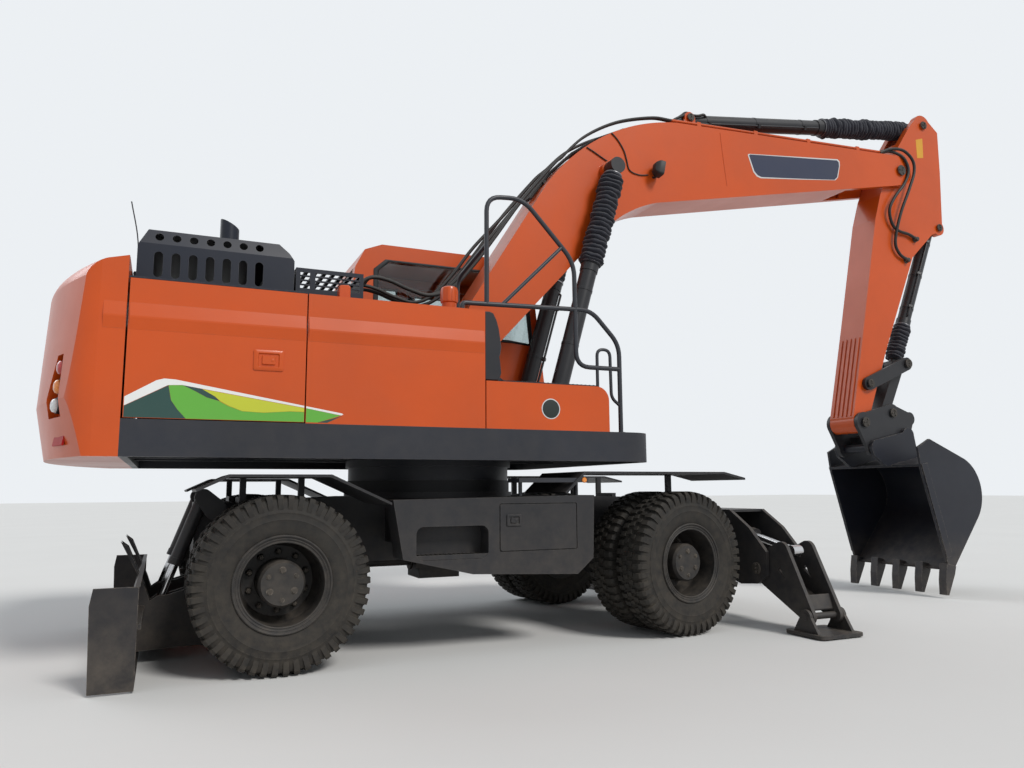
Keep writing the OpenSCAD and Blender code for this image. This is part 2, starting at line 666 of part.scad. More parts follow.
// Left side behind the cab: a hinged door in front of the cooling compartment
module left_door() {
  color("#e8501e") difference() {
    block([tail_front + 11, body_half - panel, skirt_top + 6], [-700, body_half, panel_top - 2]);
    translate([door_hinge[0], door_hinge[1], skirt_top]) cylinder(r = 6 + pin_gap, h = 32);
    translate([door_hinge[0], door_hinge[1], panel_top - 40]) cylinder(r = 6 + pin_gap, h = 40);
  }
}

// Raised engine hood, hinged at its rear edge: a folded sheet with cut corners, vent holes and vent slots
module hood() {
  color("#2b2c2e") difference() {
    union() {
      hood_form(0, panel_top + 16);
      for (y = [-700, 440]) side(y, y + 60) bar(hood_hinge, hood_hinge + [30, 0], 12, 12);
    }
    hood_form(20, panel_top);
    for (x = [hood_front - 221 : -99 : hood_rear + 120]) {
      cross_pin([x, hood_top - 47], 25, hood_right - 1, hood_left + 1);
      side(hood_right - 1, hood_left + 1) round_square([x - 25, 2385], [x + 25, 2545], 24);
    }
    for (y = [-700, 440]) cross_pin(hood_hinge, 6 + pin_gap, y - 1, y + 61);
  }
}

// Form of the hood from a height up, inset by a margin
module hood_form(m, low) {
  intersection() {
    side(hood_right + m, hood_left - m)
      polygon([[hood_rear + m, low], [hood_rear + m, hood_top - 113], [hood_rear + 56 + 0.6 * m, hood_top - m],
        [hood_front - 97 - 0.4 * m, hood_top - m], [hood_front - 31 - 0.8 * m, hood_top - 62 - 0.4 * m],
        [hood_front - m, hood_top - 112], [hood_front - m, low]]);
    across(hood_rear, hood_front)
      polygon([[hood_right + m, low], [hood_right + m, hood_top - 95], [hood_right + 30 + 0.7 * m, hood_top - m],
        [hood_left - 30 - 0.7 * m, hood_top - m], [hood_left - m, hood_top - 95], [hood_left - m, low]]);
  }
}

// Fixed top of the engine bay: covers between the side panels, with a louvred grille
module grille_cover() {
  color("#2b2c2e") difference() {
    union() {
      block([tail_front + 5, -body_half + panel + 20, panel_top - 20], [-700, body_half - panel - 20, panel_top]);
      block([tail_front + 5, -body_half, panel_top], [-1196, body_half, panel_top + 10]);
      block([-1196, -700, panel_top], [-700, body_half, panel_top + 10]);
      block([-1230, -940, panel_top], [-780, 500, grille_top]);
      // hinge pins of the side doors and of the hood
      for (s = [-1, 1]) translate([door_hinge[0], s * door_hinge[1], panel_top - 38]) cylinder(r = 6, h = 40);
      for (y = [-700, 440]) {
        cross_pin(hood_hinge, 6, y - 30, y + 90);
        for (edge = [y - 26, y + 66]) side(edge, edge + 20) bar(hood_hinge, [hood_hinge[0], panel_top], 8, 8);
      }
    }
    block([-1192, -body_half, panel_top - 30], [-690, -700, panel_top]);
    block([tail_front + 85, -900, panel_top - 30], [-1300, 700, panel_top + 30]);
    // louvred housing: hollow, with lying slots in its sides and long slots in its top
    block([-1218, -928, panel_top + 12], [-792, 488, grille_top - 12]);
    for (z = [grille_top - 137 : 30 : grille_top - 40], x = [[-1202, -1138], [-1104, -806]])
      block([x[0], -941, z], [x[1], 501, z + 20]);
    for (x = [-1200 : 60 : -820], y = [[-900, -240], [-200, 460]])
      block([x, y[0], grille_top - 20], [x + 34, y[1], grille_top + 10]);
  }
}

module exhaust() {
  color("#1f2022") difference() {
    translate([-1630, -560, hood_top]) cylinder(r = 62, h = 265);
    translate([-1630, -560, hood_top + 15]) cylinder(r = 52, h = 285);
    translate([-1630, -560, 2900]) rotate([0, 28, 0]) translate([-200, -200, 0]) cube([400, 400, 300]);
  }
}

// Engine as one plain block on the deck
module engine() {
  color("#4b4c4e") block([tail_front + 125, -620, skirt_top], [-1320, 560, 2230]);
}

// Cab shell with cut windows, open inside
module cab_frame() {
  color("#e8501e") difference() {
    side(cab_in, cab_out) cab_outline(0);
    side(cab_in + 45, cab_out - 45) cab_outline(45);
    // side windows
    side(cab_in - 1, cab_in + 46) cab_side_window();
    // doorway on the left
    side(cab_out - 46, cab_out + 1) cab_doorway(0);
    side(cab_out - 46, cab_out + 1) cab_rear_window();
    // windscreen and rear window
    block([900, cab_in + 70, 1640], [1400, cab_out - 70, 3060]);
    block([-700, cab_in + 90, 2420], [-400, cab_out - 90, 2980]);
  }
  // hinge pins of the door, each between two lugs
  color("#e8501e") for (z = [1750, 2700]) {
    translate([cab_hinge[0], cab_hinge[1], z - 20]) cylinder(r = 5, h = 100);
    for (low = [z - 20, z + 62]) block([110, cab_out, low], [cab_hinge[0] + 6, cab_out + 18, low + 18]);
  }
}

// Side outline of the cab, inset by a margin
module cab_outline(m) {
  polygon([[-590 + m, skirt_top + m], [1190 - m, skirt_top + m], [1240 - m, 1900], [1120 - m, 2900],
    [1030 - m, roof_top - 60 - m * 0.5], [900, roof_top - m], [-330, roof_top - m], [-480 + m * 0.6, roof_top - 60 - m * 0.6],
    [-560 + m, roof_top - 220], [-590 + m, 2700]]);
}

module cab_side_window() {
  polygon([[-380, 2420], [880, 2420], [1090, 2400], [1040, 2880], [960, 3050], [-280, 3050], [-380, 2960]]);
}

module cab_doorway(m) {
  polygon([[150 + m, 1560 + m], [1080 - m, 1560 + m], [1130 - m, 1900], [1010 - m, 2900], [930 - m, 3060 - m],
    [150 + m, 3060 - m]]);
}

module cab_rear_window() {
  polygon([[-430, 2330], [60, 2330], [60, 3040], [-300, 3040], [-430, 2900]]);
}

module cab_glass() {
  color([0.15, 0.18, 0.2, 0.5]) {
    side(cab_in + 18, cab_in + 24) cab_side_window();
    side(cab_out - 24, cab_out - 18) cab_rear_window();
    intersection() {
      side(cab_in + 70, cab_out - 70) difference() {
        cab_outline(18);
        cab_outline(24);
      }
      union() {
        block([900, cab_in + 70, 1640], [1400, cab_out - 70, 3060]);
        block([-700, cab_in + 90, 2420], [-400, cab_out - 90, 2980]);
      }
    }
  }
}

module cab_seat() {
  // half width over the consoles, which leaves room beside them for the door's sheet
  reach = (cab_out - cab_in) / 2 - 83.5;
  color("#232426") translate([0, (cab_in + cab_out) / 2, 0]) {
    round_block([60, 124 - reach, 1880], [560, reach - 124, 2010], 50);
    side(144 - reach, reach - 144) polygon([[60, 1960], [190, 1960], [90, 2750], [-30, 2750]]);
    block([110, 174 - reach, skirt_top + 45], [500, reach - 174, 1880]);
    for (s = [-1, 1]) block([150, s * (reach - 62) - 62, 1900], [700, s * (reach - 62) + 62, 2120]);
    block([860, -90, skirt_top + 45], [990, 90, 2200]);
  }
}

module cab_door() {
  color("#e8501e") difference() {
    side(cab_out - 42, cab_out) cab_doorway(6);
    side(cab_out - 46, cab_out + 1)
      polygon([[230, 1960], [1060, 1960], [950, 2860], [890, 2990], [230, 2990]]);
  }
  color("#e8501e") for (z = [1750, 2700]) difference() {
    union() {
      translate([cab_hinge[0], cab_hinge[1], z]) cylinder(r = 9, h = 60);
      block([cab_hinge[0] + 10, cab_out, z], [210, cab_out + 8, z + 60]);
      block([cab_hinge[0], cab_out + 1, z], [210, cab_out + 8, z + 60]);
    }
    translate([cab_hinge[0], cab_hinge[1], z - 1]) cylinder(r = 5 + pin_gap, h = 62);
  }
}

module cab_door_glass() {
  color([0.15, 0.18, 0.2, 0.5]) side(cab_out - 24, cab_out - 18)
    polygon([[230, 1960], [1060, 1960], [950, 2860], [890, 2990], [230, 2990]]);
}

// Handrails of the right front step: one welded frame of tube, with a stay to the tank's inner edge
module handrails() {
  color("#3a3b3d") {
    // walk rail from the tank's top down to the deck, as [x, z] points
    flat_rail([[-140, panel_top], [-140, 2360], [880, 2395], [1116, 2151], [1116, skirt_top]], rail_tube);
    // high hoop and its slanting brace
    flat_rail([[44, 2366], [44, 3110], [100, 3172], [292, 3177], [744, 2747], [750, 2017], [789, 1974],
      [1116, 1964]], rail_tube);
    flat_rail([[640, 2846], [160, 2370]], rail_tube - 3);
    // small grab loop
    flat_rail([[925, 1798], [925, 2070], [975, 2104], [1035, 2075], [1040, 1745], [1112, 1690]], rail_tube - 5);
    rail([[-25, -750, panel_top], [-25, -750, 2640], [44, rail_side, 2800]], rail_tube - 3);
  }
}

// A tube in the plane of the handrail frame, through [x, z] points
module flat_rail(points, r) {
  rail([for (p = points) [p[0], rail_side, p[1]]], r);
}

// A tube of radius r through a list of [x, y, z] points, with a ball a little thicker than the tube at each bend
module rail(points, r) {
  last = len(points) - 1;
  for (i = [0 : last - 1]) {
    run = points[i + 1] - points[i];
    translate(points[i]) rotate([0, acos(run[2] / norm(run)), atan2(run[1], run[0])]) cylinder(r = r, h = norm(run));
    if (i > 0) translate(points[i]) sphere(r = r + 1.5);
  }
}

// Boom: goose-neck box with a bored foot and a forked tip
module boom() {
  color("#e8501e") difference() {
    side(boom_side - boom_half, boom_side + boom_half) {
      translate(boom_foot) circle(185);
      translate(boom_tip) circle(165);
      boom_outline();
    }
    // hollow of the box, open into the fork
    side(boom_side - boom_half + 18, boom_side + boom_half - 18) boom_hollow();
    cross_pin(boom_foot, 50 + pin_gap, boom_side - boom_half - 1, boom_side + boom_half + 1);
    // fork at the tip
    side(boom_side - arm_half - side_gap, boom_side + arm_half + side_gap) {
      polygon([[4560, 3900], [4520, 4300], [4840, 4480], [4860, 4900], [5600, 4900], [5600, 3900]]);
    }
  }
  color("#2b2c2e") {
    cross_pin(boom_tip, 45, boom_side - boom_half - 14, boom_side + boom_half + 14);
    for (s = [-1, 1]) side(boom_side + (s > 0 ? 88 : -118), boom_side + (s > 0 ? 118 : -88))
      bar(arm_cyl_foot, arm_cyl_foot + [0, -130], 60, 70);
    cross_pin(arm_cyl_foot, 36, boom_side - 128, boom_side + 128);
    for (s = [-1, 1]) cross_pin(boom_cyl_eye, 85, boom_side + (s > 0 ? boom_half - 1 : -rod_eye_in),
      boom_side + (s > 0 ? rod_eye_in : 1 - boom_half));
  }
}

// Side outline of the boom: a goose neck that turns once above and once below
module boom_outline() {
  difference() {
    polygon([[70, 2000], top_start, neck_top, top_end, [5325, 4710], under_end, neck_under, under_start, [380, 1830]]);
    corner(neck_top, top_start, top_end, neck_top_radius);
  }
  corner(neck_under, under_start, under_end, neck_under_radius);
}

// Hollow of the boom, one wall thickness inside its outline, short of the foot and of the tip
module boom_hollow() {
  wall = 22;
  top = round_centre(neck_top, top_start, top_end, wall);
  under = round_centre(neck_under, under_start, under_end, -wall);
  top_back = top + 0.95 * (top_start - neck_top);
  top_front = top + 0.9 * (top_end - neck_top);
  under_front = under + 0.85 * (under_end - neck_under);
  under_back = under + 0.9 * (under_start - neck_under);
  difference() {
    polygon([top, top_front, under_front, under, under_back, top_back]);
    corner(top, top_back, top_front, neck_top_radius - wall);
  }
  corner(under, under_back, under_front, neck_under_radius + wall);
}

// Four pressure lines over the top of the neck, laid side by side in clamps
module boom_lines() {
  centre = round_centre(neck_top, top_start, top_end, neck_top_radius);
  path = [for (turn = [148 : -9 : 94]) centre + (round_play * neck_top_radius + 24) * [cos(turn), sin(turn)]];
  color("#161617") {
    for (y = [-75, -25, 25, 75]) translate([0, boom_side + y, 0]) rail([for (p = path) [p[0], 0, p[1]]], 14);
    for (turn = [142, 121, 100]) translate([centre[0], boom_side, centre[1]]) rotate([0, -turn, 0])
      translate([round_play * neck_top_radius + 0.4, -98, -20]) cube([24, 196, 40]);
  }
}

module boom_barrels() {
  color("#222325") for (s = [-1, 1]) {
    y = boom_side + s * boom_cylinder_side;
    difference() {
      union() {
        cross_pin(boom_cyl_foot, 75, y - 55, y + 55);
        shaft(boom_cyl_foot, boom_cyl_eye, y, 72, 40, 1400);
        shaft(boom_cyl_foot, boom_cyl_eye, y, 78, 1380, 1460);
      }
      cross_pin(boom_cyl_foot, 40 + pin_gap, y - 56, y + 56);
      shaft(boom_cyl_foot, boom_cyl_eye, y, 42.8, 100, 1470);
    }
  }
}

module boom_rods() {
  reach = norm(boom_cyl_eye - boom_cyl_foot);
  color("#161617") for (s = [-1, 1]) {
    y = boom_side + s * boom_cylinder_side;
    shaft(boom_cyl_foot, boom_cyl_eye, y, 42.5, 700, reach - 30);
    cross_pin(boom_cyl_eye, 72, y - 60, y + 60);
  }
}

// Arm: box with a bell-shaped root for its cylinder, bored at both ends
module arm() {
  color("#e8501e") difference() {
    side(boom_side - arm_half, boom_side + arm_half) {
      translate(boom_tip) circle(150);
      translate(arm_cyl_eye) circle(125);
      translate(arm_tip) circle(105);
      translate(bucket_cyl_foot) circle(85);
      arm_outline();
    }
    // hollow of the box, open into the slot of the arm cylinder
    side(boom_side - arm_half + 15, boom_side + arm_half - 15) intersection() {
      offset(delta = -20) arm_outline();
      difference() {
        polygon([[4300, 1900], [5200, 1900], [6200, 4300], [6200, 5200], [5600, 5200], [5000, 4600], [4600, 3400]]);
        translate(boom_tip) circle(130);
      }
    }
    cross_pin(boom_tip, 45 + pin_gap, boom_side - arm_half - 1, boom_side + arm_half + 1);
    cross_pin(arm_tip, 40 + pin_gap, boom_side - arm_half - 1, boom_side + arm_half + 1);
    cross_pin(lever_pin, 35 + pin_gap, boom_side - arm_half - 1, boom_side + arm_half + 1);
    // slots for the eyes of the two cylinders
    side(boom_side - 84, boom_side + 84) {
      polygon([[5400, 4960], [5560, 4860], [6120, 4860], [6120, 5400], [5400, 5400]]);
      polygon([[5760, 3800], [5790, 4200], [6100, 4300], [6200, 3700]]);
    }
  }
  color("#2b2c2e") {
    for (s = [-1, 1]) cross_pin(arm_cyl_eye, 38, boom_side + (s > 0 ? 74 : -arm_half - 14),
      boom_side + (s > 0 ? arm_half + 14 : -74));
    cross_pin(bucket_cyl_foot, 34, boom_side - arm_half - 12, boom_side + arm_half + 12);
  }
}

module arm_outline() {
  polygon([[5180, 4500], [5280, 4700], [5600, 5140], [5760, 5305], [5850, 5310], [6060, 5150], [6050, 4671], [6010, 3960],
    [5835, 3899], [5492, 3593], [4984, 2526], [4650, 1750], [4450, 1690], [4445, 1790], [4689, 2800], [4960, 3965],
    [5060, 4250]]);
}

module arm_barrel() {
  color("#222325") difference() {
    union() {
      cross_pin(arm_cyl_foot, 80, boom_side - 82, boom_side + 82);
      shaft(arm_cyl_foot, arm_cyl_eye, boom_side, 76, 40, 1800);
      shaft(arm_cyl_foot, arm_cyl_eye, boom_side, 84, 1760, 1850);
    }
    cross_pin(arm_cyl_foot, 36 + pin_gap, boom_side - 83, boom_side + 83);
    shaft(arm_cyl_foot, arm_cyl_eye, boom_side, 45.3, 150, 1860);
  }
}

module arm_rod() {
  reach = norm(arm_cyl_eye - arm_cyl_foot);
  color("#161617") {
    shaft(arm_cyl_foot, arm_cyl_eye, boom_side, 45, 1270, reach - 30);
    cross_pin(arm_cyl_eye, 72, boom_side - 64, boom_side + 64);
  }
}

module bucket_barrel() {
  color("#222325") difference() {
    union() {
      cross_pin(bucket_cyl_foot, 68, boom_side - 78, boom_side + 78);
      shaft(bucket_cyl_foot, lever_tip, boom_side, 68, 40, 1200);
      shaft(bucket_cyl_foot, lever_tip, boom_side, 76, 1180, 1260);
    }
    cross_pin(bucket_cyl_foot, 34 + pin_gap, boom_side - 79, boom_side + 79);
    shaft(bucket_cyl_foot, lever_tip, boom_side, 42.8, 120, 1270);
  }
}

module bucket_rod() {
  reach = norm(lever_tip - bucket_cyl_foot);
  color("#161617") {
    shaft(bucket_cyl_foot, lever_tip, boom_side, 42.5, 250, reach - 30);
    cross_pin(lever_tip, 62, boom_side - 48, boom_side + 48);
  }
}

// Folded boots over the rods; each has its first fold at the barrel and its last at the eye
module boot(a, b, y, inner, from, to) {
  folds = round((to - from) / 55);
  pitch = (to - from) / folds;
  translate([a[0], y, a[1]]) rotate([0, atan2(b[0] - a[0], b[1] - a[1]), 0]) rotate_extrude()
    polygon(concat([[inner, to], [inner, from]],
      [for (i = [0 : folds - 1], step = [0, 1]) [step == 0 ? 52 : 64, from + (i + step / 2) * pitch]], [[52, to]]));
}

module boom_boots() {
  color("#161617") for (s = [-1, 1])
    boot(boom_cyl_foot, boom_cyl_eye, boom_side + s * boom_cylinder_side, 43, 1470, norm(boom_cyl_eye - boom_cyl_foot) - 95);
}

module arm_boot() {
  color("#161617") boot(arm_cyl_foot, arm_cyl_eye, boom_side, 45.5, 1860, norm(arm_cyl_eye - arm_cyl_foot) - 95);
}

module bucket_boot() {
  color("#161617") boot(bucket_cyl_foot, lever_tip, boom_side, 43, 1270, norm(lever_tip - bucket_cyl_foot) - 90);
}

// Side levers on the arm, with the pin through it
module levers() {
  color("#2a2b2d") {
    for (s = [-1, 1]) side(boom_side + (s > 0 ? lever_in : -lever_in - 36), boom_side + (s > 0 ? lever_in + 36 : -lever_in))
      bar(lever_pin, lever_tip, 68, 68);
    cross_pin(lever_pin, 35, boom_side - lever_in - 50, boom_side + lever_in + 50);
    for (s = [-1, 1]) cross_pin(lever_tip, 45, boom_side + (s > 0 ? 112 : -lever_in - 50),
      boom_side + (s > 0 ? lever_in + 50 : -112));
  }
}

// Bucket link: two cheeks beside the rod's eye, joined below it
module link() {
  color("#2a2b2d") difference() {
    union() {
      for (s = [-1, 1]) side(boom_side + (s > 0 ? 58 : -104), boom_side + (s > 0 ? 104 : -58))
        bar(lever_tip, link_pin, 60, 62);
      side(boom_side - 104, boom_side + 104) bar(lever_tip + 0.45 * (link_pin - lever_tip), link_pin, 50, 62);
    }
    cross_pin(link_pin, 38 + pin_gap, boom_side - 110, boom_side + 110);
  }
}

// Quick coupler: two cheeks between the arm's tip, the link and the bucket's pins
module coupler() {
  color("#2b2c2e") {
    difference() {
      union() {
        for (s = [-1, 1]) side(boom_side + (s > 0 ? arm_half + side_gap : -arm_half - side_gap - 40),
          boom_side + (s > 0 ? arm_half + side_gap + 40 : -arm_half - side_gap)) coupler_outline();
        side(boom_side - 161, boom_side + 161) polygon([[4720, 1600], [4990, 1640], [5020, 1560], [4740, 1520]]);
      }
      // hooks that hold the bucket's pins
      for (at = [hook_front, hook_rear]) cross_pin(at, 40, boom_side - 244, boom_side + 244);
    }
    cross_pin(arm_tip, 40, boom_side - arm_half - 62, boom_side + arm_half + 62);
    cross_pin(link_pin, 38, boom_side - arm_half - 58, boom_side + arm_half + 58);
  }
}

module coupler_outline() {
  translate(arm_tip) circle(105);
  translate(link_pin) circle(95);
  translate([5200, 1790]) circle(70);
  translate(hook_front) circle(90);
  translate(hook_rear) circle(70);
  polygon([[4470, 1810], [4900, 1925], [5010, 1915], [5260, 1830], [5240, 1740], [5170, 1570], [5080, 1545], [4700, 1400],
    [4600, 1410], [4450, 1690]]);
}

// Bucket: side plates, wrapped back and top sheet, lip with teeth, and the ears on its two pins
module bucket() {
  color("#26282c") {
    difference() {
      side(boom_side - bucket_half, boom_side + bucket_half) bucket_outline();
      side(boom_side - bucket_half + 25, boom_side + bucket_half - 25) {
        bucket_inside();
        // the side plates stand above the top sheet
        polygon([bucket_front, touch(bucket_front, bucket_back, bucket_back_radius, 1), [5560, 1460], [4984, 1700],
          [4700, 1700]]);
      }
    }
    for (s = [-1, 1]) side(boom_side + (s > 0 ? 208 : -244), boom_side + (s > 0 ? 244 : -208)) {
      translate(hook_front) circle(80);
      translate(hook_rear) circle(80);
      polygon([[4575, 1478], [4600, 1400], [4760, 1290], [4900, 1290], [5235, 1370], [5190, 1610], [5110, 1690],
        [5040, 1640], [4655, 1558]]);
    }
    for (at = [hook_front, hook_rear]) cross_pin(at, 40, boom_side - 244, boom_side + 244);
    for (i = [-2 : 2]) side(boom_side + i * 0.235 * 2 * bucket_half - 42, boom_side + i * 0.235 * 2 * bucket_half + 42)
      polygon([[5090, 330], [5215, 300], [5190, 225], [5085, 28], [5055, 30], [5060, 170]]);
  }
}

// Side plate of the bucket: front edge, peak, round back and the run down to the lip
module bucket_outline() {
  peak = [4984, 1551];
  polygon([[4813, 1467], peak, touch(peak, bucket_back, bucket_back_radius, 1), bucket_back,
    touch(bucket_lip, bucket_back, bucket_back_radius, -1), bucket_lip, [5130, 262], [4841, 1247]]);
  translate(bucket_back) circle(bucket_back_radius, $fn = 96);
}

// Room between the sheets of the bucket, open to the front
module bucket_inside() {
  r = bucket_back_radius - bucket_sheet;
  front = bucket_front + [0, -bucket_sheet];
  lip = bucket_lip + [-20, 26];
  polygon([[4500, front[1]], front, touch(front, bucket_back, r, 1), bucket_back, touch(lip, bucket_back, r, -1), lip,
    [4500, lip[1]]]);
  translate(bucket_back) circle(r, $fn = 96);
}

chassis_frame();
slew_ring();
rear_axle();
front_axle();
driveline();
side_boxes();
mudguards();
knuckle_left();
knuckle_right();
tyres_front_left();
rims_front_left();
tyres_front_right();
rims_front_right();
tyres_rear_left();
rims_rear_left();
tyres_rear_right();
rims_rear_right();
blade();
blade_barrels();
blade_rods();
leg_left();
leg_barrel_left();
leg_rod_left();
pad_left();
leg_right();
leg_barrel_right();
leg_rod_right();
pad_right();
deck();
counterweight();
fuel_tank();
front_box();
rear_door();
left_door();
hood();
grille_cover();
exhaust();
engine();
cab_frame();
cab_glass();
cab_seat();
cab_door();
cab_door_glass();
handrails();
boom();
boom_lines();
boom_barrels();
boom_rods();
boom_boots();
arm();
arm_barrel();
arm_rod();
arm_boot();
bucket_barrel();
bucket_rod();
bucket_boot();
levers();
link();
coupler();
bucket();
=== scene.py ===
import math
import random

import bmesh
import bpy
from mathutils import Matrix, Vector, noise


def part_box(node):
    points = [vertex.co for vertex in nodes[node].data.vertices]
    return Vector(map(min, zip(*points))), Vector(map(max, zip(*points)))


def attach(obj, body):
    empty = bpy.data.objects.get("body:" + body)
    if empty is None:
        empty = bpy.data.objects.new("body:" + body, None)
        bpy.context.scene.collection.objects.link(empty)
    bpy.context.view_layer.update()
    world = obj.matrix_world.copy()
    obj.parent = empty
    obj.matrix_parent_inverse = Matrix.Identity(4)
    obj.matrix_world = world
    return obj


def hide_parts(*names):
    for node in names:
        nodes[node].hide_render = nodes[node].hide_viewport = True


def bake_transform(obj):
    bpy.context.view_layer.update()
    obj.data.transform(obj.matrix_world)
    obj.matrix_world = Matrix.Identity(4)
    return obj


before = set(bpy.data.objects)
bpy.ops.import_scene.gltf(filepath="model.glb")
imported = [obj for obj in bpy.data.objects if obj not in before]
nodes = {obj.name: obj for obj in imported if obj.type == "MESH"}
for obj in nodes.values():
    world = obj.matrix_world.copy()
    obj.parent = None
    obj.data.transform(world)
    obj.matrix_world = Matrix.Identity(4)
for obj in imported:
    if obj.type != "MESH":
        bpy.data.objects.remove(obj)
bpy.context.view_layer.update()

# Camera: held at chest height, six metres off the machine's right side, looking
# forward and a little up, through a phone's main lens of about 27 mm.
eye = Vector((-1.974, -6.100, 1.076))
yaw, pitch, roll = math.radians(24.04), math.radians(7.71), math.radians(-0.377)
ahead = Vector((math.sin(yaw) * math.cos(pitch), math.cos(yaw) * math.cos(pitch), math.sin(pitch)))
level = Vector((math.cos(yaw), -math.sin(yaw), 0.0))
upright = level.cross(ahead)
right = level * math.cos(roll) + upright * math.sin(roll)
above = upright * math.cos(roll) - level * math.sin(roll)
FOCAL_PIXELS, PICTURE_WIDTH, FILM_WIDTH = 780.4, 1024.0, 36.0
lens = bpy.data.cameras.new("camera")
lens.sensor_width = FILM_WIDTH
lens.lens = FOCAL_PIXELS / PICTURE_WIDTH * FILM_WIDTH
lens.clip_start, lens.clip_end = 0.05, 300.0
camera = bpy.data.objects.new("camera", lens)
camera.matrix_world = Matrix((right, above, -ahead)).transposed().to_4x4()
camera.location = eye
bpy.context.scene.collection.objects.link(camera)
bpy.context.scene.camera = camera
bpy.context.scene.view_settings.view_transform = "Standard"


# Studio: a pale even floor and a plain pale surround. A large soft key stands to the
# right of the camera and high, a weaker light behind, and the surround fills the rest.
def join(tree, value, socket):
    if isinstance(value, bpy.types.NodeSocket):
        tree.links.new(value, socket)
    else:
        socket.default_value = value


def lay_node(tree, kind, values=(), **settings):
    node = tree.nodes.new(kind)
    for key, value in settings.items():
        setattr(node, key, value)
    for key, value in dict(values).items():
        join(tree, value, node.inputs[key])
    return node


def calculate(tree, operation, first, second=0.0, clamp=False):
    return lay_node(tree, "ShaderNodeMath", {0: first, 1: second}, operation=operation,
                    use_clamp=clamp).outputs[0]


def patches(tree, place, scale, detail=4.0, rough=0.55):
    values = {"Vector": place, "Scale": scale, "Detail": detail, "Roughness": rough}
    return lay_node(tree, "ShaderNodeTexNoise", values).outputs[0]


def tint(tree, share, first, second):
    return lay_node(tree, "ShaderNodeMix", {0: share, 6: first, 7: second}, data_type="RGBA").outputs[2]


def place_on(tree):
    return lay_node(tree, "ShaderNodeTexCoord").outputs["Object"]


def new_finish(name):
    """A new material with its node tree and the sockets of its surface shader."""
    finish = bpy.data.materials.new(name)
    finish.use_nodes = True
    return finish, finish.node_tree, finish.node_tree.nodes["Principled BSDF"].inputs


studio = bpy.data.worlds.new("studio")
bpy.context.scene.world = studio
studio.use_nodes = True
studio_tree = studio.node_tree
studio_tree.nodes.clear()
light_path = lay_node(studio_tree, "ShaderNodeLightPath").outputs
seen = calculate(studio_tree, "MAXIMUM", light_path["Is Camera Ray"], light_path["Is Transmission Ray"])
seen = calculate(studio_tree, "MAXIMUM", seen, light_path["Is Glossy Ray"])
fill = lay_node(studio_tree, "ShaderNodeBackground", {0: (0.90, 0.95, 1.0, 1.0), 1: 0.46})
surround = lay_node(studio_tree, "ShaderNodeBackground", {0: (0.84, 0.87, 0.90, 1.0), 1: 1.0})
chosen = lay_node(studio_tree, "ShaderNodeMixShader", {0: seen, 1: fill.outputs[0], 2: surround.outputs[0]})
lay_node(studio_tree, "ShaderNodeOutputWorld", {0: chosen.outputs[0]})


def soft_sun(name, strength, spread, colour, stands):
    lamp = bpy.data.lights.new(name, "SUN")
    lamp.energy, lamp.angle, lamp.color = strength, math.radians(spread), colour
    holder = bpy.data.objects.new(name, lamp)
    holder.rotation_euler = Vector(stands).to_track_quat("Z", "Y").to_euler()
    bpy.context.scene.collection.objects.link(holder)


soft_sun("key_light", 2.1, 16.0, (1.0, 0.975, 0.94), (0.55, -1.5, 1.35))
soft_sun("back_light", 0.6, 35.0, (0.92, 0.96, 1.0), (-1.0, 1.3, 1.2))

FLOOR_HALF, FLOOR_LEVEL = 90.0, -0.002
floor_mesh = bpy.data.meshes.new("studio_floor")
floor_corners = [(x * FLOOR_HALF, y * FLOOR_HALF, FLOOR_LEVEL)
                 for x, y in ((-1, -1), (1, -1), (1, 1), (-1, 1))]
floor_mesh.from_pydata(floor_corners, [], [(0, 1, 2, 3)])
studio_floor = bpy.data.objects.new("studio_floor", floor_mesh)
bpy.context.scene.collection.objects.link(studio_floor)
floor_finish, floor_tree, floor_shader = new_finish("floor_finish")
floor_shader["Roughness"].default_value = 0.9
floor_shader["Specular IOR Level"].default_value = 0.1
floor_tone = patches(floor_tree, place_on(floor_tree), 0.5, 3.0)
floor_tone = tint(floor_tree, floor_tone, (0.70, 0.70, 0.69, 1.0), (0.75, 0.75, 0.74, 1.0))
join(floor_tree, floor_tone, floor_shader["Base Color"])
floor_mesh.materials.append(floor_finish)


# Weathering that every painted or cast part shows: dust lying on what faces up and mud
# thrown up from the ground, paint rubbed thin along edges, and the paint's fine skin.
def shader_group(name, inputs, outputs):
    """A node group with named sockets, and the sockets inside it to take values from and to feed."""
    group = bpy.data.node_groups.new(name, "ShaderNodeTree")
    for label, value in inputs.items():
        kind = "NodeSocketColor" if isinstance(value, tuple) else "NodeSocketFloat"
        group.interface.new_socket(name=label, in_out="INPUT", socket_type=kind).default_value = value
    for label in outputs:
        group.interface.new_socket(name=label, in_out="OUTPUT", socket_type="NodeSocketFloat")
    return group, group.nodes.new("NodeGroupInput").outputs, group.nodes.new("NodeGroupOutput").inputs


def stretch(tree, value, low, high, to_low=0.0, to_high=1.0):
    return lay_node(tree, "ShaderNodeMapRange", {0: value, 1: low, 2: high, 3: to_low, 4: to_high}).outputs[0]


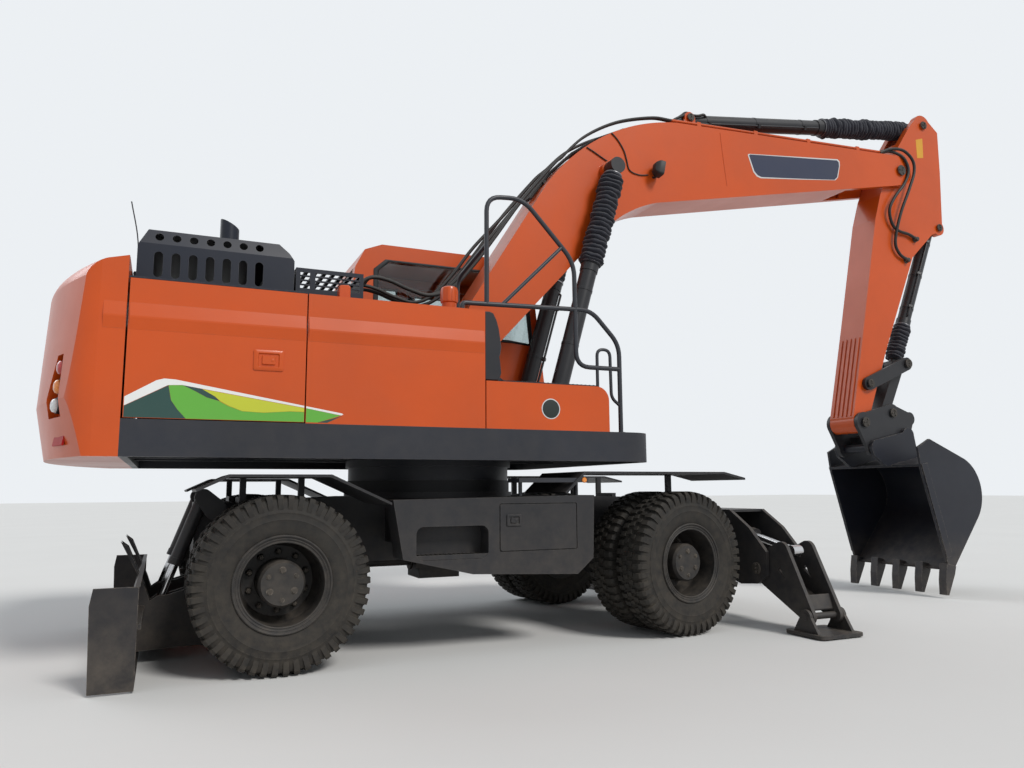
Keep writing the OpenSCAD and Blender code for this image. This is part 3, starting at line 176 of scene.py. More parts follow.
dust_group, dust_in, dust_out = shader_group(
    "settled_dust", {"Dust": 0.3, "Mud": 0.3, "Mud Height": 1.2, "Grain": 6.0}, ("Mask",)
)
dust_place = lay_node(dust_group, "ShaderNodeTexCoord").outputs
faces_up = lay_node(dust_group, "ShaderNodeSeparateXYZ", {0: dust_place["Normal"]}).outputs[2]
high_up = lay_node(dust_group, "ShaderNodeSeparateXYZ", {0: dust_place["Object"]}).outputs[2]
dust_cloud = patches(dust_group, dust_place["Object"], dust_in["Grain"], 8.0, 0.65)
dust_lying = calculate(dust_group, "MULTIPLY", stretch(dust_group, faces_up, 0.2, 0.95, 0.14, 1.0),
                       dust_in["Dust"])
mud_low = calculate(dust_group, "DIVIDE", high_up, dust_in["Mud Height"])
mud_low = calculate(dust_group, "SUBTRACT", 1.0, mud_low, clamp=True)
mud_low = calculate(dust_group, "MULTIPLY", mud_low, dust_in["Mud"])
dust_all = calculate(dust_group, "ADD", dust_lying, mud_low)
dust_all = calculate(dust_group, "MULTIPLY", dust_all,
                     stretch(dust_group, dust_cloud, 0.34, 0.68, 0.30, 1.45), clamp=True)
join(dust_group, dust_all, dust_out["Mask"])

wear_group, wear_in, wear_out = shader_group("rubbed_edges", {"Wear": 0.5, "Reach": 0.01, "Grain": 30.0},
                                             ("Mask",))
rounded_off = lay_node(wear_group, "ShaderNodeBevel", {"Radius": wear_in["Reach"]}, samples=4).outputs[0]
true_face = lay_node(wear_group, "ShaderNodeNewGeometry").outputs["Normal"]
edge = lay_node(wear_group, "ShaderNodeVectorMath", {0: rounded_off, 1: true_face},
                operation="DOT_PRODUCT").outputs["Value"]
edge = stretch(wear_group, edge, 0.98, 0.75)
wear_cloud = patches(wear_group, place_on(wear_group), wear_in["Grain"], 6.0, 0.7)
edge = calculate(wear_group, "MULTIPLY", edge, stretch(wear_group, wear_cloud, 0.42, 0.6))
join(wear_group, calculate(wear_group, "MULTIPLY", edge, wear_in["Wear"], clamp=True), wear_out["Mask"])

skin_group, skin_in, skin_out = shader_group("paint_skin", {"Peel": 1.0, "Dents": 1.0}, ("Height", "Shade"))
skin_place = place_on(skin_group)
peel = calculate(skin_group, "MULTIPLY", patches(skin_group, skin_place, 260.0, 2.0), skin_in["Peel"])
dents = calculate(skin_group, "MULTIPLY", patches(skin_group, skin_place, 2.2, 2.0), skin_in["Dents"])
join(skin_group, calculate(skin_group, "ADD", calculate(skin_group, "MULTIPLY", peel, 0.02), dents),
     skin_out["Height"])
join(skin_group, patches(skin_group, skin_place, 1.3, 5.0, 0.6), skin_out["Shade"])


def placed(tree, group, **values):
    node = tree.nodes.new("ShaderNodeGroup")
    node.node_tree = group
    for key, value in values.items():
        node.inputs[key.replace("_", " ")].default_value = value
    return node.outputs


def add_relief(tree, shader, height, strength, distance):
    values = {"Height": height, "Strength": strength, "Distance": distance}
    join(tree, lay_node(tree, "ShaderNodeBump", values).outputs[0], shader["Normal"])


DUST_COLOUR = (0.200, 0.165, 0.128, 1.0)


def weathered(name, colour, rough, coat=0.0, metal=0.0, dust=0.25, mud=0.3, mud_height=1.2, wear=0.4,
              reach=0.008, bare=(0.16, 0.15, 0.14, 1.0), shade=0.25, peel=1.0, dents=0.6, grain=6.0,
              bump=0.25, shine=0.32):
    """A finish in one colour, with the paint's skin, dust, mud and rubbed edges laid over it."""
    finish, tree, shader = new_finish(name)
    skin = placed(tree, skin_group, Peel=peel, Dents=dents)
    dirt = placed(tree, dust_group, Dust=dust, Mud=mud, Mud_Height=mud_height, Grain=grain)["Mask"]
    rubbed = placed(tree, wear_group, Wear=wear, Reach=reach)["Mask"]
    darker = tuple(c * (1.0 - shade) for c in colour[:3]) + (1.0,)
    paint = tint(tree, stretch(tree, skin["Shade"], 0.35, 0.65), colour, darker)
    paint = tint(tree, rubbed, paint, bare)
    join(tree, tint(tree, dirt, paint, DUST_COLOUR), shader["Base Color"])
    gloss = stretch(tree, skin["Shade"], 0.3, 0.7, rough - 0.05, rough + 0.06)
    join(tree, calculate(tree, "ADD", gloss, calculate(tree, "MULTIPLY", dirt, 0.45), clamp=True),
         shader["Roughness"])
    shader["Metallic"].default_value = metal
    shader["Specular IOR Level"].default_value = shine
    if coat:
        join(tree, stretch(tree, dirt, 0.0, 0.5, coat, 0.0), shader["Coat Weight"])
        shader["Coat Roughness"].default_value = 0.12
    add_relief(tree, shader, skin["Height"], bump, 0.01)
    return finish


def dress(finish, *names):
    for name in names:
        nodes[name].data.materials.clear()
        nodes[name].data.materials.append(finish)


# Chassis, axles and driveline: welded plate and castings in dark grey satin paint,
# caked with dried mud low down.
chassis_paint = weathered("chassis_paint", (0.019, 0.020, 0.024, 1.0), 0.46, dust=0.17, mud=0.15,
                          mud_height=1.15, wear=0.4, grain=11.0)
dress(chassis_paint, "chassis_frame", "side_boxes", "mudguards", "leg_left", "leg_right", "pad_left",
      "pad_right")
casting_paint = weathered("casting_paint", (0.016, 0.017, 0.020, 1.0), 0.55, dust=0.22, mud=0.24,
                          mud_height=1.0, wear=0.3, peel=3.0, grain=11.0)
dress(casting_paint, "slew_ring", "rear_axle", "front_axle", "driveline", "knuckle_left", "knuckle_right",
      "engine")


# Tyres: twin cross-ply tyres on each hub, black rubber with square shoulder lugs and two
# staggered rows of middle blocks, moulded in one with the carcass, dusty from the yard.
def fitted(name, build, body, finish, smooth=True, stand=None):
    """A new piece made by a build function, on its body, in its finish and slot."""
    shape = bmesh.new()
    build(shape)
    bmesh.ops.recalc_face_normals(shape, faces=shape.faces)
    mesh = bpy.data.meshes.new(name)
    shape.to_mesh(mesh)
    shape.free()
    if stand:
        mesh.transform(stand)
    piece = bpy.data.objects.new(name, mesh)
    bpy.context.scene.collection.objects.link(piece)
    mesh.materials.append(finish)
    if smooth:
        mesh.shade_smooth()
        mesh.set_sharp_from_angle(angle=math.radians(35))
    if body:
        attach(piece, body)
    return piece


def skin_over(shape, rings, round_trip=False, capped=True):
    """Faces from each ring of vertices to the next; a round trip also joins the last to the first."""
    for low, high in zip(rings, rings[1:] + rings[:1] if round_trip else rings[1:]):
        for i in range(len(low)):
            k = (i + 1) % len(low)
            shape.faces.new((low[i], low[k], high[k], high[i]))
    if capped and not round_trip:
        shape.faces.new(rings[0][::-1])
        shape.faces.new(rings[-1])


def turn_profile(shape, profile, steps):
    """Turns a closed outline of (radius, y) points about the Y axis into a ring."""
    turns = [2 * math.pi * step / steps for step in range(steps)]
    rings = [[shape.verts.new((r * math.cos(a), y, r * math.sin(a))) for r, y in profile] for a in turns]
    skin_over(shape, rings, round_trip=True)


def tread_lug(shape, turn, half_turn, y0, y1, foot, crown, skew=0.0):
    """One rubber block standing on the carcass, narrower at its crown."""
    corners = []
    for radius, shrink in ((foot, 1.0), (crown, 0.86)):
        for side_turn, y in ((-1, y0), (1, y0), (1, y1), (-1, y1)):
            middle = (y0 + y1) / 2
            a = turn + side_turn * half_turn * shrink + skew * (y - middle)
            y_in = middle + (y - middle) * (0.94 if radius == crown else 1.0)
            corners.append(shape.verts.new((radius * math.cos(a), y_in, radius * math.sin(a))))
    for face in ((0, 1, 2, 3), (4, 7, 6, 5), (0, 4, 5, 1), (1, 5, 6, 2), (2, 6, 7, 3), (3, 7, 4, 0)):
        shape.faces.new([corners[i] for i in face])


def shoulder_lug(shape, turn, half_turn, hand):
    """A lug that runs over the shoulder and a hand's width down the sidewall."""
    section = [(0.4400, 0.1310), (0.4700, 0.1365), (0.5050, 0.1335), (0.5235, 0.1180), (0.5275, 0.0960),
               (0.5275, 0.0600)]
    inside = [(0.4420, 0.1180), (0.4700, 0.1220), (0.4950, 0.1180), (0.5050, 0.1050), (0.5060, 0.0900),
              (0.5060, 0.0560)]
    loops = []
    for side_turn in (-1, 1):
        outer = [(r, y, turn + side_turn * half_turn * 0.86) for r, y in section]
        inner = [(r, y, turn + side_turn * half_turn) for r, y in inside]
        loops.append([shape.verts.new((r * math.cos(a), hand * y, r * math.sin(a)))
                      for r, y, a in outer + inner[::-1]])
    skin_over(shape, loops, capped=False)
    count = len(loops[0])
    half = count // 2
    for loop in loops:
        for i in range(half - 1):
            shape.faces.new((loop[i], loop[i + 1], loop[count - 2 - i], loop[count - 1 - i]))


CARCASS = [
    (0.262, -0.100), (0.292, -0.117), (0.330, -0.126), (0.357, -0.131), (0.375, -0.1325), (0.381, -0.1350),
    (0.388, -0.1330), (0.418, -0.1345), (0.4180, -0.1365), (0.424, -0.1365), (0.424, -0.1340),
    (0.450, -0.1270), (0.480, -0.1240), (0.500, -0.1140), (0.5085, -0.0980), (0.5110, -0.0600), (0.5120, 0.0),
]
CARCASS += [(r, -y) for r, y in CARCASS[-2::-1]]
SHOULDER_LUGS = 50


def build_tyre(shape, centre_y):
    start = len(shape.verts)
    turn_profile(shape, CARCASS, 120)
    step = 2 * math.pi / SHOULDER_LUGS
    for i in range(SHOULDER_LUGS):
        for hand in (-1, 1):
            shoulder_lug(shape, i * step + (0.5 * step if hand > 0 else 0.0), 0.30 * step, hand)
            tread_lug(shape, i * step + hand * 0.25 * step, 0.27 * step, hand * 0.006, hand * 0.049, 0.508,
                      0.5275, hand * 0.25)
    shape.verts.ensure_lookup_table()
    for vert in shape.verts[start:]:
        vert.co.y += centre_y


tyre_rubber, rubber_tree, rubber = new_finish("tyre_rubber")
rubber_skin = placed(rubber_tree, skin_group, Peel=6.0, Dents=0.2)
rubber_dirt = placed(rubber_tree, dust_group, Dust=0.12, Mud=0.24, Mud_Height=1.8, Grain=15.0)["Mask"]
rubber_rubbed = placed(rubber_tree, wear_group, Wear=0.55, Reach=0.006)["Mask"]
rubber_tone = tint(rubber_tree, stretch(rubber_tree, rubber_skin["Shade"], 0.3, 0.7),
                   (0.010, 0.010, 0.011, 1.0), (0.019, 0.019, 0.019, 1.0))
rubber_tone = tint(rubber_tree, rubber_rubbed, rubber_tone, (0.085, 0.076, 0.064, 1.0))
rubber_tone = tint(rubber_tree, rubber_dirt, rubber_tone, (0.130, 0.110, 0.085, 1.0))
join(rubber_tree, rubber_tone, rubber["Base Color"])
join(rubber_tree, stretch(rubber_tree, rubber_dirt, 0.0, 0.6, 0.62, 0.92), rubber["Roughness"])
rubber["Specular IOR Level"].default_value = 0.22
add_relief(rubber_tree, rubber, rubber_skin["Height"], 0.3, 0.01)

AXLE_HEIGHT, REAR_AXLE, FRONT_AXLE = 0.5275, -1.290, 1.560
INNER_TYRE, OUTER_TYRE, KINGPIN_SIDE = 0.785, 1.110, 0.600
STEERED = math.radians(8.6)
wheel_places = {}
for end, hand in (("front", 1), ("front", -1), ("rear", 1), ("rear", -1)):
    side_name = "left" if hand > 0 else "right"
    if end == "rear":
        stand = Matrix.Translation((REAR_AXLE, 0.0, AXLE_HEIGHT))
        base = 0.0
    else:
        kingpin = Matrix.Translation((FRONT_AXLE, hand * KINGPIN_SIDE, AXLE_HEIGHT))
        stand = kingpin @ Matrix.Rotation(STEERED, 4, "Z")
        base = hand * KINGPIN_SIDE
    wheel_places[end + "_" + side_name] = (stand, base, hand)

for wheel, (stand, base, hand) in wheel_places.items():
    tyres = fitted("tyre_pair_" + wheel,
                   lambda shape: [build_tyre(shape, hand * y - base) for y in (INNER_TYRE, OUTER_TYRE)],
                   "wheel_" + wheel, tyre_rubber, stand=stand)
    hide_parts("tyres_" + wheel)

# Wheels: pressed steel rims bolted back to back, painted dark grey, each with its split
# lock ring, ten chamfered wheel nuts on their studs and six bolts in the hub's cover.
rim_paint = weathered("rim_paint", (0.016, 0.017, 0.019, 1.0), 0.48, dust=0.14, mud=0.17, mud_height=1.6,
                      wear=0.35, grain=14.0)
dress(rim_paint, *("rims_" + wheel for wheel in wheel_places))
nut_steel = weathered("nut_steel", (0.055, 0.050, 0.045, 1.0), 0.55, metal=0.4, dust=0.20, mud=0.24,
                      mud_height=1.6, wear=0.8, bare=(0.25, 0.22, 0.19, 1.0))


def round_rings(shape, centre, axis, levels, sides):
    """Rings of vertices around an axis, one for each (height, radius)."""
    turn = Vector(axis).to_track_quat("Z", "Y").to_matrix()
    points = [(math.cos(2 * math.pi * i / sides), math.sin(2 * math.pi * i / sides)) for i in range(sides)]
    return [[shape.verts.new(Vector(centre) + turn @ Vector((radius * u, radius * v, height)))
             for u, v in points]
            for height, radius in levels]


def round_stack(shape, centre, axis, levels, sides):
    """A turned piece of (height, radius) levels along an axis, closed at both ends."""
    skin_over(shape, round_rings(shape, centre, axis, levels, sides))


NUT_CIRCLE = 0.178


def build_wheel_nuts(shape, hand, base):
    out = (0.0, hand, 0.0)
    middle = hand * (INNER_TYRE + OUTER_TYRE) / 2 - base
    for i in range(10):
        a = math.radians(18 + 36 * i)
        at = (NUT_CIRCLE * math.cos(a), middle + hand * 0.006, NUT_CIRCLE * math.sin(a))
        round_stack(shape, at, out, [(0.0, 0.023), (0.010, 0.023)], 20)
        round_stack(shape, at, out, [(0.010, 0.018), (0.036, 0.018), (0.041, 0.0145)], 6)
        round_stack(shape, at, out, [(0.0355, 0.010), (0.052, 0.010), (0.054, 0.008)], 12)
    face = hand * (OUTER_TYRE + 0.085) - base
    for i in range(6):
        a = math.radians(30 + 60 * i)
        reach = 0.082 if i % 2 else 0.092
        at = (reach * math.cos(a), face - hand * 0.002, reach * math.sin(a))
        size = 0.017 if i % 2 else 0.012
        round_stack(shape, at, out, [(0.0, size + 0.004), (0.004, size + 0.004)], 18)
        round_stack(shape, at, out, [(0.003, size), (0.010, size), (0.012, size - 0.002)], 6)


def build_lock_ring(shape, hand, base):
    """The split lock ring in the rim's gutter and the rolled lip inside it, as beads around the axle."""
    for radius, thick, out in ((0.2835, 0.0065, 1.2335), (0.2660, 0.0040, 1.2285), (0.2490, 0.0060, 1.2245)):
        section = []
        for i in range(10):
            a = 2 * math.pi * i / 10
            section.append((radius + thick * math.cos(a), hand * (out + thick * math.sin(a)) - base))
        turn_profile(shape, section, 96)


for wheel, (stand, base, hand) in wheel_places.items():
    fitted("lock_ring_" + wheel, lambda shape: build_lock_ring(shape, hand, base), "wheel_" + wheel,
           rim_paint, stand=stand)
    fitted("wheel_nuts_" + wheel, lambda shape: build_wheel_nuts(shape, hand, base), "wheel_" + wheel,
           nut_steel, stand=stand)

# Dozer blade at the back: bent plate with end plates and two push arms, black paint
# scoured to bare steel at the lower edge and on the arms' ends.
blade_paint = weathered("blade_paint", (0.016, 0.016, 0.019, 1.0), 0.5, dust=0.16, mud=0.26, mud_height=0.6,
                        wear=0.9, grain=9.0, bare=(0.19, 0.16, 0.13, 1.0))
dress(blade_paint, "blade")

# Cylinders: seamless steel barrels in black paint; the blade's and the outriggers' rods
# are ground and hard-chromed, and the others stay dark under their sleeves.
barrel_paint = weathered("barrel_paint", (0.020, 0.021, 0.025, 1.0), 0.38, dust=0.14, mud=0.15, wear=0.4,
                         grain=12.0)
dress(barrel_paint, "blade_barrels", "leg_barrel_left", "leg_barrel_right", "boom_barrels", "arm_barrel",
      "bucket_barrel", "levers", "link", "coupler")
rod_chrome = weathered("rod_chrome", (0.62, 0.62, 0.63, 1.0), 0.16, metal=1.0, dust=0.12, mud=0.1, wear=0.0,
                       peel=0.2, dents=0.0, shade=0.08)
dress(rod_chrome, "blade_rods", "leg_rod_left", "leg_rod_right")
dress(barrel_paint, "boom_rods", "arm_rod", "bucket_rod")

# Upper body: pressed steel doors, tank and counterweight in orange enamel with a clear
# shine, faded and dusty on top; the deck's skirt below them is dark grey.
orange_enamel = weathered("orange_enamel", (0.560, 0.074, 0.004, 1.0), 0.34, coat=0.20, dust=0.08, mud=0.05,
                          mud_height=2.0, wear=0.25, reach=0.005, bare=(0.30, 0.10, 0.05, 1.0), shade=0.12,
                          peel=0.5, dents=0.8, grain=5.0, bump=0.3)
dress(orange_enamel, "counterweight", "fuel_tank", "front_box", "rear_door", "left_door", "cab_frame",
      "cab_door")
skirt_paint = weathered("skirt_paint", (0.020, 0.023, 0.032, 1.0), 0.40, dust=0.12, mud=0.07, mud_height=2.0,
                        wear=0.35, grain=9.0)
dress(skirt_paint, "deck")
hood_paint = weathered("hood_paint", (0.008, 0.012, 0.024, 1.0), 0.36, dust=0.10, mud=0.0, wear=0.35,
                       grain=9.0)
dress(hood_paint, "hood", "grille_cover", "exhaust")
rail_paint = weathered("rail_paint", (0.034, 0.037, 0.046, 1.0), 0.34, dust=0.10, mud=0.05, wear=0.5,
                       reach=0.004)


# Stripes on the right side: a cut vinyl film laid on the door and the tank, white along
# its upper edge over green fields. The lettering's place is left bare.
def build_film(shape, outline):
    """A thin patch on the right side from an (x, z) outline, its faces cut into triangles."""
    face = shape.faces.new([shape.verts.new((x, -BODY_HALF - 0.0002, z)) for x, z in outline])
    solid = bmesh.ops.extrude_face_region(shape, geom=[face])
    moved = [v for v in solid["geom"] if isinstance(v, bmesh.types.BMVert)]
    bmesh.ops.translate(shape, verts=moved, vec=(0.0, -FILM_THICK, 0.0))
    bmesh.ops.triangulate(shape, faces=[f for f in shape.faces if len(f.verts) > 4])


BODY_HALF, FILM_THICK = 1.250, 0.0006


def lay_film(name, fields, body):
    """Patches of film, each a list of (x, z) corners with its colour."""
    for number, (colour, outline) in enumerate(fields):
        fitted(f"{name}_{number}", lambda shape: build_film(shape, outline), body, films[colour],
               smooth=False)


def film_finish(name, colour):
    return weathered(name, colour, 0.32, coat=0.25, dust=0.10, mud=0.06, mud_height=2.0, wear=0.0,
                     shade=0.06, peel=0.2)


films = {
    "white": film_finish("film_white", (0.78, 0.79, 0.78, 1.0)),
    "dark": film_finish("film_dark_green", (0.016, 0.060, 0.052, 1.0)),
    "green": film_finish("film_green", (0.115, 0.400, 0.045, 1.0)),
    "lime": film_finish("film_lime", (0.520, 0.560, 0.035, 1.0)),
}
lay_film(
    "door_stripe",
    [
        ("white", [(-2.190, 1.608), (-2.190, 1.558), (-1.969, 1.683), (-1.895, 1.687), (-1.202, 1.580),
                   (-1.202, 1.592), (-1.930, 1.717), (-1.990, 1.720), (-2.030, 1.708)]),
        ("dark", [(-2.190, 1.556), (-2.190, 1.493), (-1.868, 1.493), (-1.915, 1.545), (-1.950, 1.597),
                  (-1.967, 1.682)]),
        ("green", [(-1.966, 1.682), (-1.949, 1.597), (-1.914, 1.545), (-1.867, 1.493), (-1.202, 1.493),
                   (-1.202, 1.553), (-1.286, 1.554), (-1.440, 1.541), (-1.561, 1.546), (-1.640, 1.575),
                   (-1.690, 1.601), (-1.760, 1.620), (-1.825, 1.655), (-1.892, 1.686)]),
        ("dark", [(-1.890, 1.686), (-1.823, 1.655), (-1.758, 1.620), (-1.688, 1.602), (-1.715, 1.627),
                  (-1.788, 1.669)]),
        ("lime", [(-1.786, 1.668), (-1.713, 1.627), (-1.686, 1.602), (-1.638, 1.576), (-1.560, 1.547),
                  (-1.440, 1.542), (-1.286, 1.555), (-1.202, 1.555), (-1.202, 1.578)]),
    ],
    "rear_door",
)
lay_film(
    "tank_stripe",
    [
        ("white", [(-1.190, 1.590), (-1.190, 1.578), (-0.975, 1.540), (-0.962, 1.546), (-0.972, 1.553)]),
        ("green", [(-1.190, 1.577), (-1.190, 1.492), (-1.120, 1.492), (-0.978, 1.539)]),
        ("dark", [(-1.118, 1.492), (-1.060, 1.492), (-0.972, 1.536)]),
    ],
    "upper",
)


# Flush latches: a pressed frame let into the door with a sunk dish and a paddle handle,
# one on each side door and, smaller, on each side locker.
def rounded_outline(x0, x1, z0, z1, r, steps=4):
    """Corners of a rectangle with rounded corners, in order."""
    points = []
    for cx, cz, start in ((x1 - r, z1 - r, 0), (x0 + r, z1 - r, 90), (x0 + r, z0 + r, 180),
                          (x1 - r, z0 + r, 270)):
        for i in range(steps + 1):
            a = math.radians(start + 90 * i / steps)
            points.append((cx + r * math.cos(a), cz + r * math.sin(a)))
    return points


def build_latch(shape, x, z, face, hand, size=1.0):
    """A raised rim, a dish sunk in it and a paddle across the dish, on the outer side of a door's plane."""
    def ring(half_x, half_z, corner, out, taper=(1.0, 1.0)):
        outline = rounded_outline(x - half_x, x + half_x, z - half_z, z + half_z, corner)
        return [shape.verts.new((x + (px - x) * taper[0], face + hand * out, z + (pz - z) * taper[1]))
                for px, pz in outline]

    frame_rings = ((0.088, 0.064, 0.012, 0.0005), (0.088, 0.064, 0.012, 0.006), (0.082, 0.058, 0.010, 0.010),
                   (0.062, 0.042, 0.008, 0.010), (0.058, 0.038, 0.008, 0.0012))
    skin_over(shape, [ring(half_x * size, half_z * size, corner * size, out)
                      for half_x, half_z, corner, out in frame_rings])
    paddle = (0.040 * size, 0.027 * size, 0.006)
    skin_over(shape, [ring(*paddle, 0.0012), ring(*paddle, 0.0110, (0.94, 0.90))])
    round_stack(shape, (x + 0.022 * size, face + hand * 0.0105, z), (0, hand, 0),
                [(0.0, 0.009), (0.0022, 0.009), (0.0028, 0.007)], 18)


for name, body, x, z, hand in (("door_latch_right", "rear_door", -1.420, 1.860, -1),
                               ("door_latch_left", "left_door", -0.860, 1.900, 1)):
    fitted(name, lambda shape: build_latch(shape, x, z, hand * BODY_HALF, hand), body, orange_enamel)


# Body line: a pressed swage that runs along the doors, the tank and the counterweight,
# a finger's thickness proud, with a sloping lower side.
def build_ridge(shape, x0, x1, hand):
    skin_over(shape, [[shape.verts.new((x, hand * (BODY_HALF + out), z)) for z, out in SWAGE]
                      for x in (x0, x1)])


SWAGE = [(2.150, 0.0006), (2.072, 0.011), (2.062, 0.011), (1.994, 0.0006), (1.994, 0.0003), (2.150, 0.0003)]
for name, body, x0, x1, hand in (
    ("body_line_door_right", "rear_door", -2.188, -1.206, -1),
    ("body_line_tank", "upper", -1.186, -0.014, -1),
    ("body_line_weight_right", "upper", -2.322, -2.208, -1),
    ("body_line_weight_left", "upper", -2.322, -2.208, 1),
    ("body_line_door_left", "left_door", -2.188, -0.706, 1),
):
    fitted(name, lambda shape: build_ridge(shape, x0, x1, hand), body, orange_enamel,
           smooth=False)


# Front of the tank and top of the step box: a moulded black end cover, a studded rubber
# mat, a locking filler cap and a breather on the tank, and a round badge left blank.
def grown(outline, by):
    """The outline with each corner moved away from its middle by a distance."""
    cx = sum(x for x, z in outline) / len(outline)
    cz = sum(z for x, z in outline) / len(outline)
    shares = [by / math.hypot(x - cx, z - cz) for x, z in outline]
    return [(x + (x - cx) * share, z + (z - cz) * share) for (x, z), share in zip(outline, shares)]


def drawn(shape, outline, y0, y1, edge):
    """An (x, z) outline drawn across from y0 to y1, with a chamfer of the given edge at both ends."""
    levels = ((y0, edge), (y0 + edge, 0.0), (y1 - edge, 0.0), (y1, edge))
    skin_over(shape, [[shape.verts.new((x, y, z)) for x, z in grown(outline, -inward)]
                      for y, inward in levels])


moulded_black = weathered("moulded_black", (0.012, 0.013, 0.018, 1.0), 0.42, dust=0.16, mud=0.0, wear=0.2,
                          peel=2.0, grain=9.0)
COVER = [(-0.0070, 1.8130), (-0.0070, 2.2900), (0.0300, 2.2920), (0.0560, 2.2820), (0.0780, 2.2400),
         (0.0960, 2.1800), (0.1080, 2.1100), (0.1150, 2.0460), (0.1080, 2.0000), (0.0990, 1.9760),
         (0.1060, 1.9300), (0.1120, 1.8600), (0.1040, 1.8350), (0.0920, 1.8130)]
fitted("tank_end_cover", lambda shape: drawn(shape, COVER, -1.246, -0.705, 0.008), "upper", moulded_black,
       smooth=False)


def build_mat(shape):
    drawn(shape, [(0.125, 1.8104), (0.125, 1.8190), (0.862, 1.8190), (0.862, 1.8104)], -1.238, -0.775, 0.004)
    stud = [(0.0, 0.009), (0.004, 0.006)]
    for i in range(22):
        for k in range(13):
            round_stack(shape, (0.145 + i * 0.0335, -1.222 + k * 0.0360, 1.8186), (0, 0, 1), stud, 6)


fitted("step_mat", build_mat, "upper", moulded_black)
FILLER = (-0.181, -1.000, 2.2964)


def build_filler(shape):
    x, y, z = FILLER
    round_stack(shape, FILLER, (0, 0, 1),
                [(0.0, 0.070), (0.012, 0.070), (0.016, 0.052), (0.085, 0.052), (0.092, 0.060), (0.180, 0.061),
                 (0.196, 0.056), (0.203, 0.044)], 36)
    for i in range(12):
        a = math.radians(30 * i)
        grip = (x + 0.060 * math.cos(a), y + 0.060 * math.sin(a), z + 0.0976)
        round_stack(shape, grip, (0, 0, 1), [(0.0, 0.004), (0.078, 0.004)], 8)


fitted("filler_cap", build_filler, "upper", orange_enamel)
BREATHER = [(-0.982, 2.2964), (-0.982, 2.392), (-0.972, 2.404), (-0.922, 2.408), (-0.908, 2.396),
            (-0.908, 2.2964)]
fitted("tank_breather", lambda shape: drawn(shape, BREATHER, -1.135, -1.065, 0.006), "upper", orange_enamel,
       smooth=False)

badge_rim = weathered("badge_rim", (0.60, 0.61, 0.62, 1.0), 0.35, dust=0.05, mud=0.0, wear=0.0, shade=0.1)
badge_dark = weathered("badge_dark", (0.012, 0.020, 0.018, 1.0), 0.30, coat=0.3, dust=0.05, mud=0.0, wear=0.0)
for name, radius, out, finish in (("badge_rim", 0.072, 0.0004, badge_rim),
                                  ("badge_face", 0.065, 0.0016, badge_dark)):
    disc = [(0.0, radius), (0.0010, radius), (0.0014, radius - 0.002)]
    fitted(name, lambda shape: round_stack(shape, (0.486, -BODY_HALF - out, 1.634), (0, -1, 0), disc, 48),
           "upper", finish)


# Tail lamps: three round lenses one above the other in black cups in each rear pocket,
# moulded in coloured plastic, with a red reflector glued on below them.
def lens_finish(name, deep, pale):
    """Moulded plastic between two shades, its pattern of small domes raised a little."""
    finish, tree, shader = new_finish(name)
    pattern = {"Vector": place_on(tree), "Scale": 120.0}
    domes = lay_node(tree, "ShaderNodeTexVoronoi", pattern).outputs["Distance"]
    join(tree, tint(tree, domes, deep, pale), shader["Base Color"])
    shader["Roughness"].default_value = 0.14
    shader["Coat Weight"].default_value = 0.7
    add_relief(tree, shader, domes, 0.4, 0.002)
    return finish


lens_red = lens_finish("lens_red", (0.25, 0.006, 0.006, 1.0), (0.55, 0.020, 0.015, 1.0))
lens_amber = lens_finish("lens_amber", (0.60, 0.14, 0.010, 1.0), (0.85, 0.30, 0.030, 1.0))
lens_white = lens_finish("lens_white", (0.55, 0.57, 0.58, 1.0), (0.82, 0.84, 0.85, 1.0))
reflector_red = weathered("reflector_red", (0.420, 0.010, 0.010, 1.0), 0.45, dust=0.05, mud=0.0, wear=0.0,
                          shade=0.2, shine=0.2)
LAMPS = ((-0.030, 1.575, lens_white), (0.004, 1.682, lens_amber), (0.046, 1.788, lens_red))
LAMP_CUP = [(0.0, 0.048), (0.036, 0.048), (0.040, 0.045), (0.038, 0.042)]
LAMP_LENS = [(0.0, 0.0415), (0.010, 0.0415), (0.020, 0.036), (0.027, 0.022), (0.029, 0.008)]


def add_block(shape, centre, size, turn=Matrix()):
    """A rectangular block around its centre, turned by a matrix where one is given."""
    stretched = turn @ Matrix.Diagonal((*size, 1.0))
    bmesh.ops.create_cube(shape, size=1.0, matrix=Matrix.Translation(centre) @ stretched)


BOTH_SIDES = ((-1, "right"), (1, "left"))
for hand, side_name in BOTH_SIDES:
    turned = Matrix.Rotation(-hand * math.radians(20.5), 4, "Z")
    outward = turned @ Vector((-1.0, 0.0, 0.0))
    for number, (aside, z, finish) in enumerate(LAMPS):
        at = turned @ Vector((-2.6803, hand * aside, z))
        fitted(f"tail_lamp_{side_name}_{number}", lambda shape: round_stack(shape, at, outward, LAMP_CUP, 32),
               "upper", moulded_black)
        fitted(f"tail_lens_{side_name}_{number}",
               lambda shape: round_stack(shape, at + outward * 0.0370, outward, LAMP_LENS, 32),
               "upper", finish)
    around = Matrix.Rotation(-hand * math.radians(21.0), 4, "Z")
    at, tilt = around @ Vector((-2.7095, hand * 0.02, 1.366)), Matrix.Rotation(math.radians(10.4), 4, "Y")
    fitted("tail_reflector_" + side_name,
           lambda shape: add_block(shape, at, (0.012, 0.180, 0.052), around @ tilt),
           "upper", reflector_red, smooth=False)


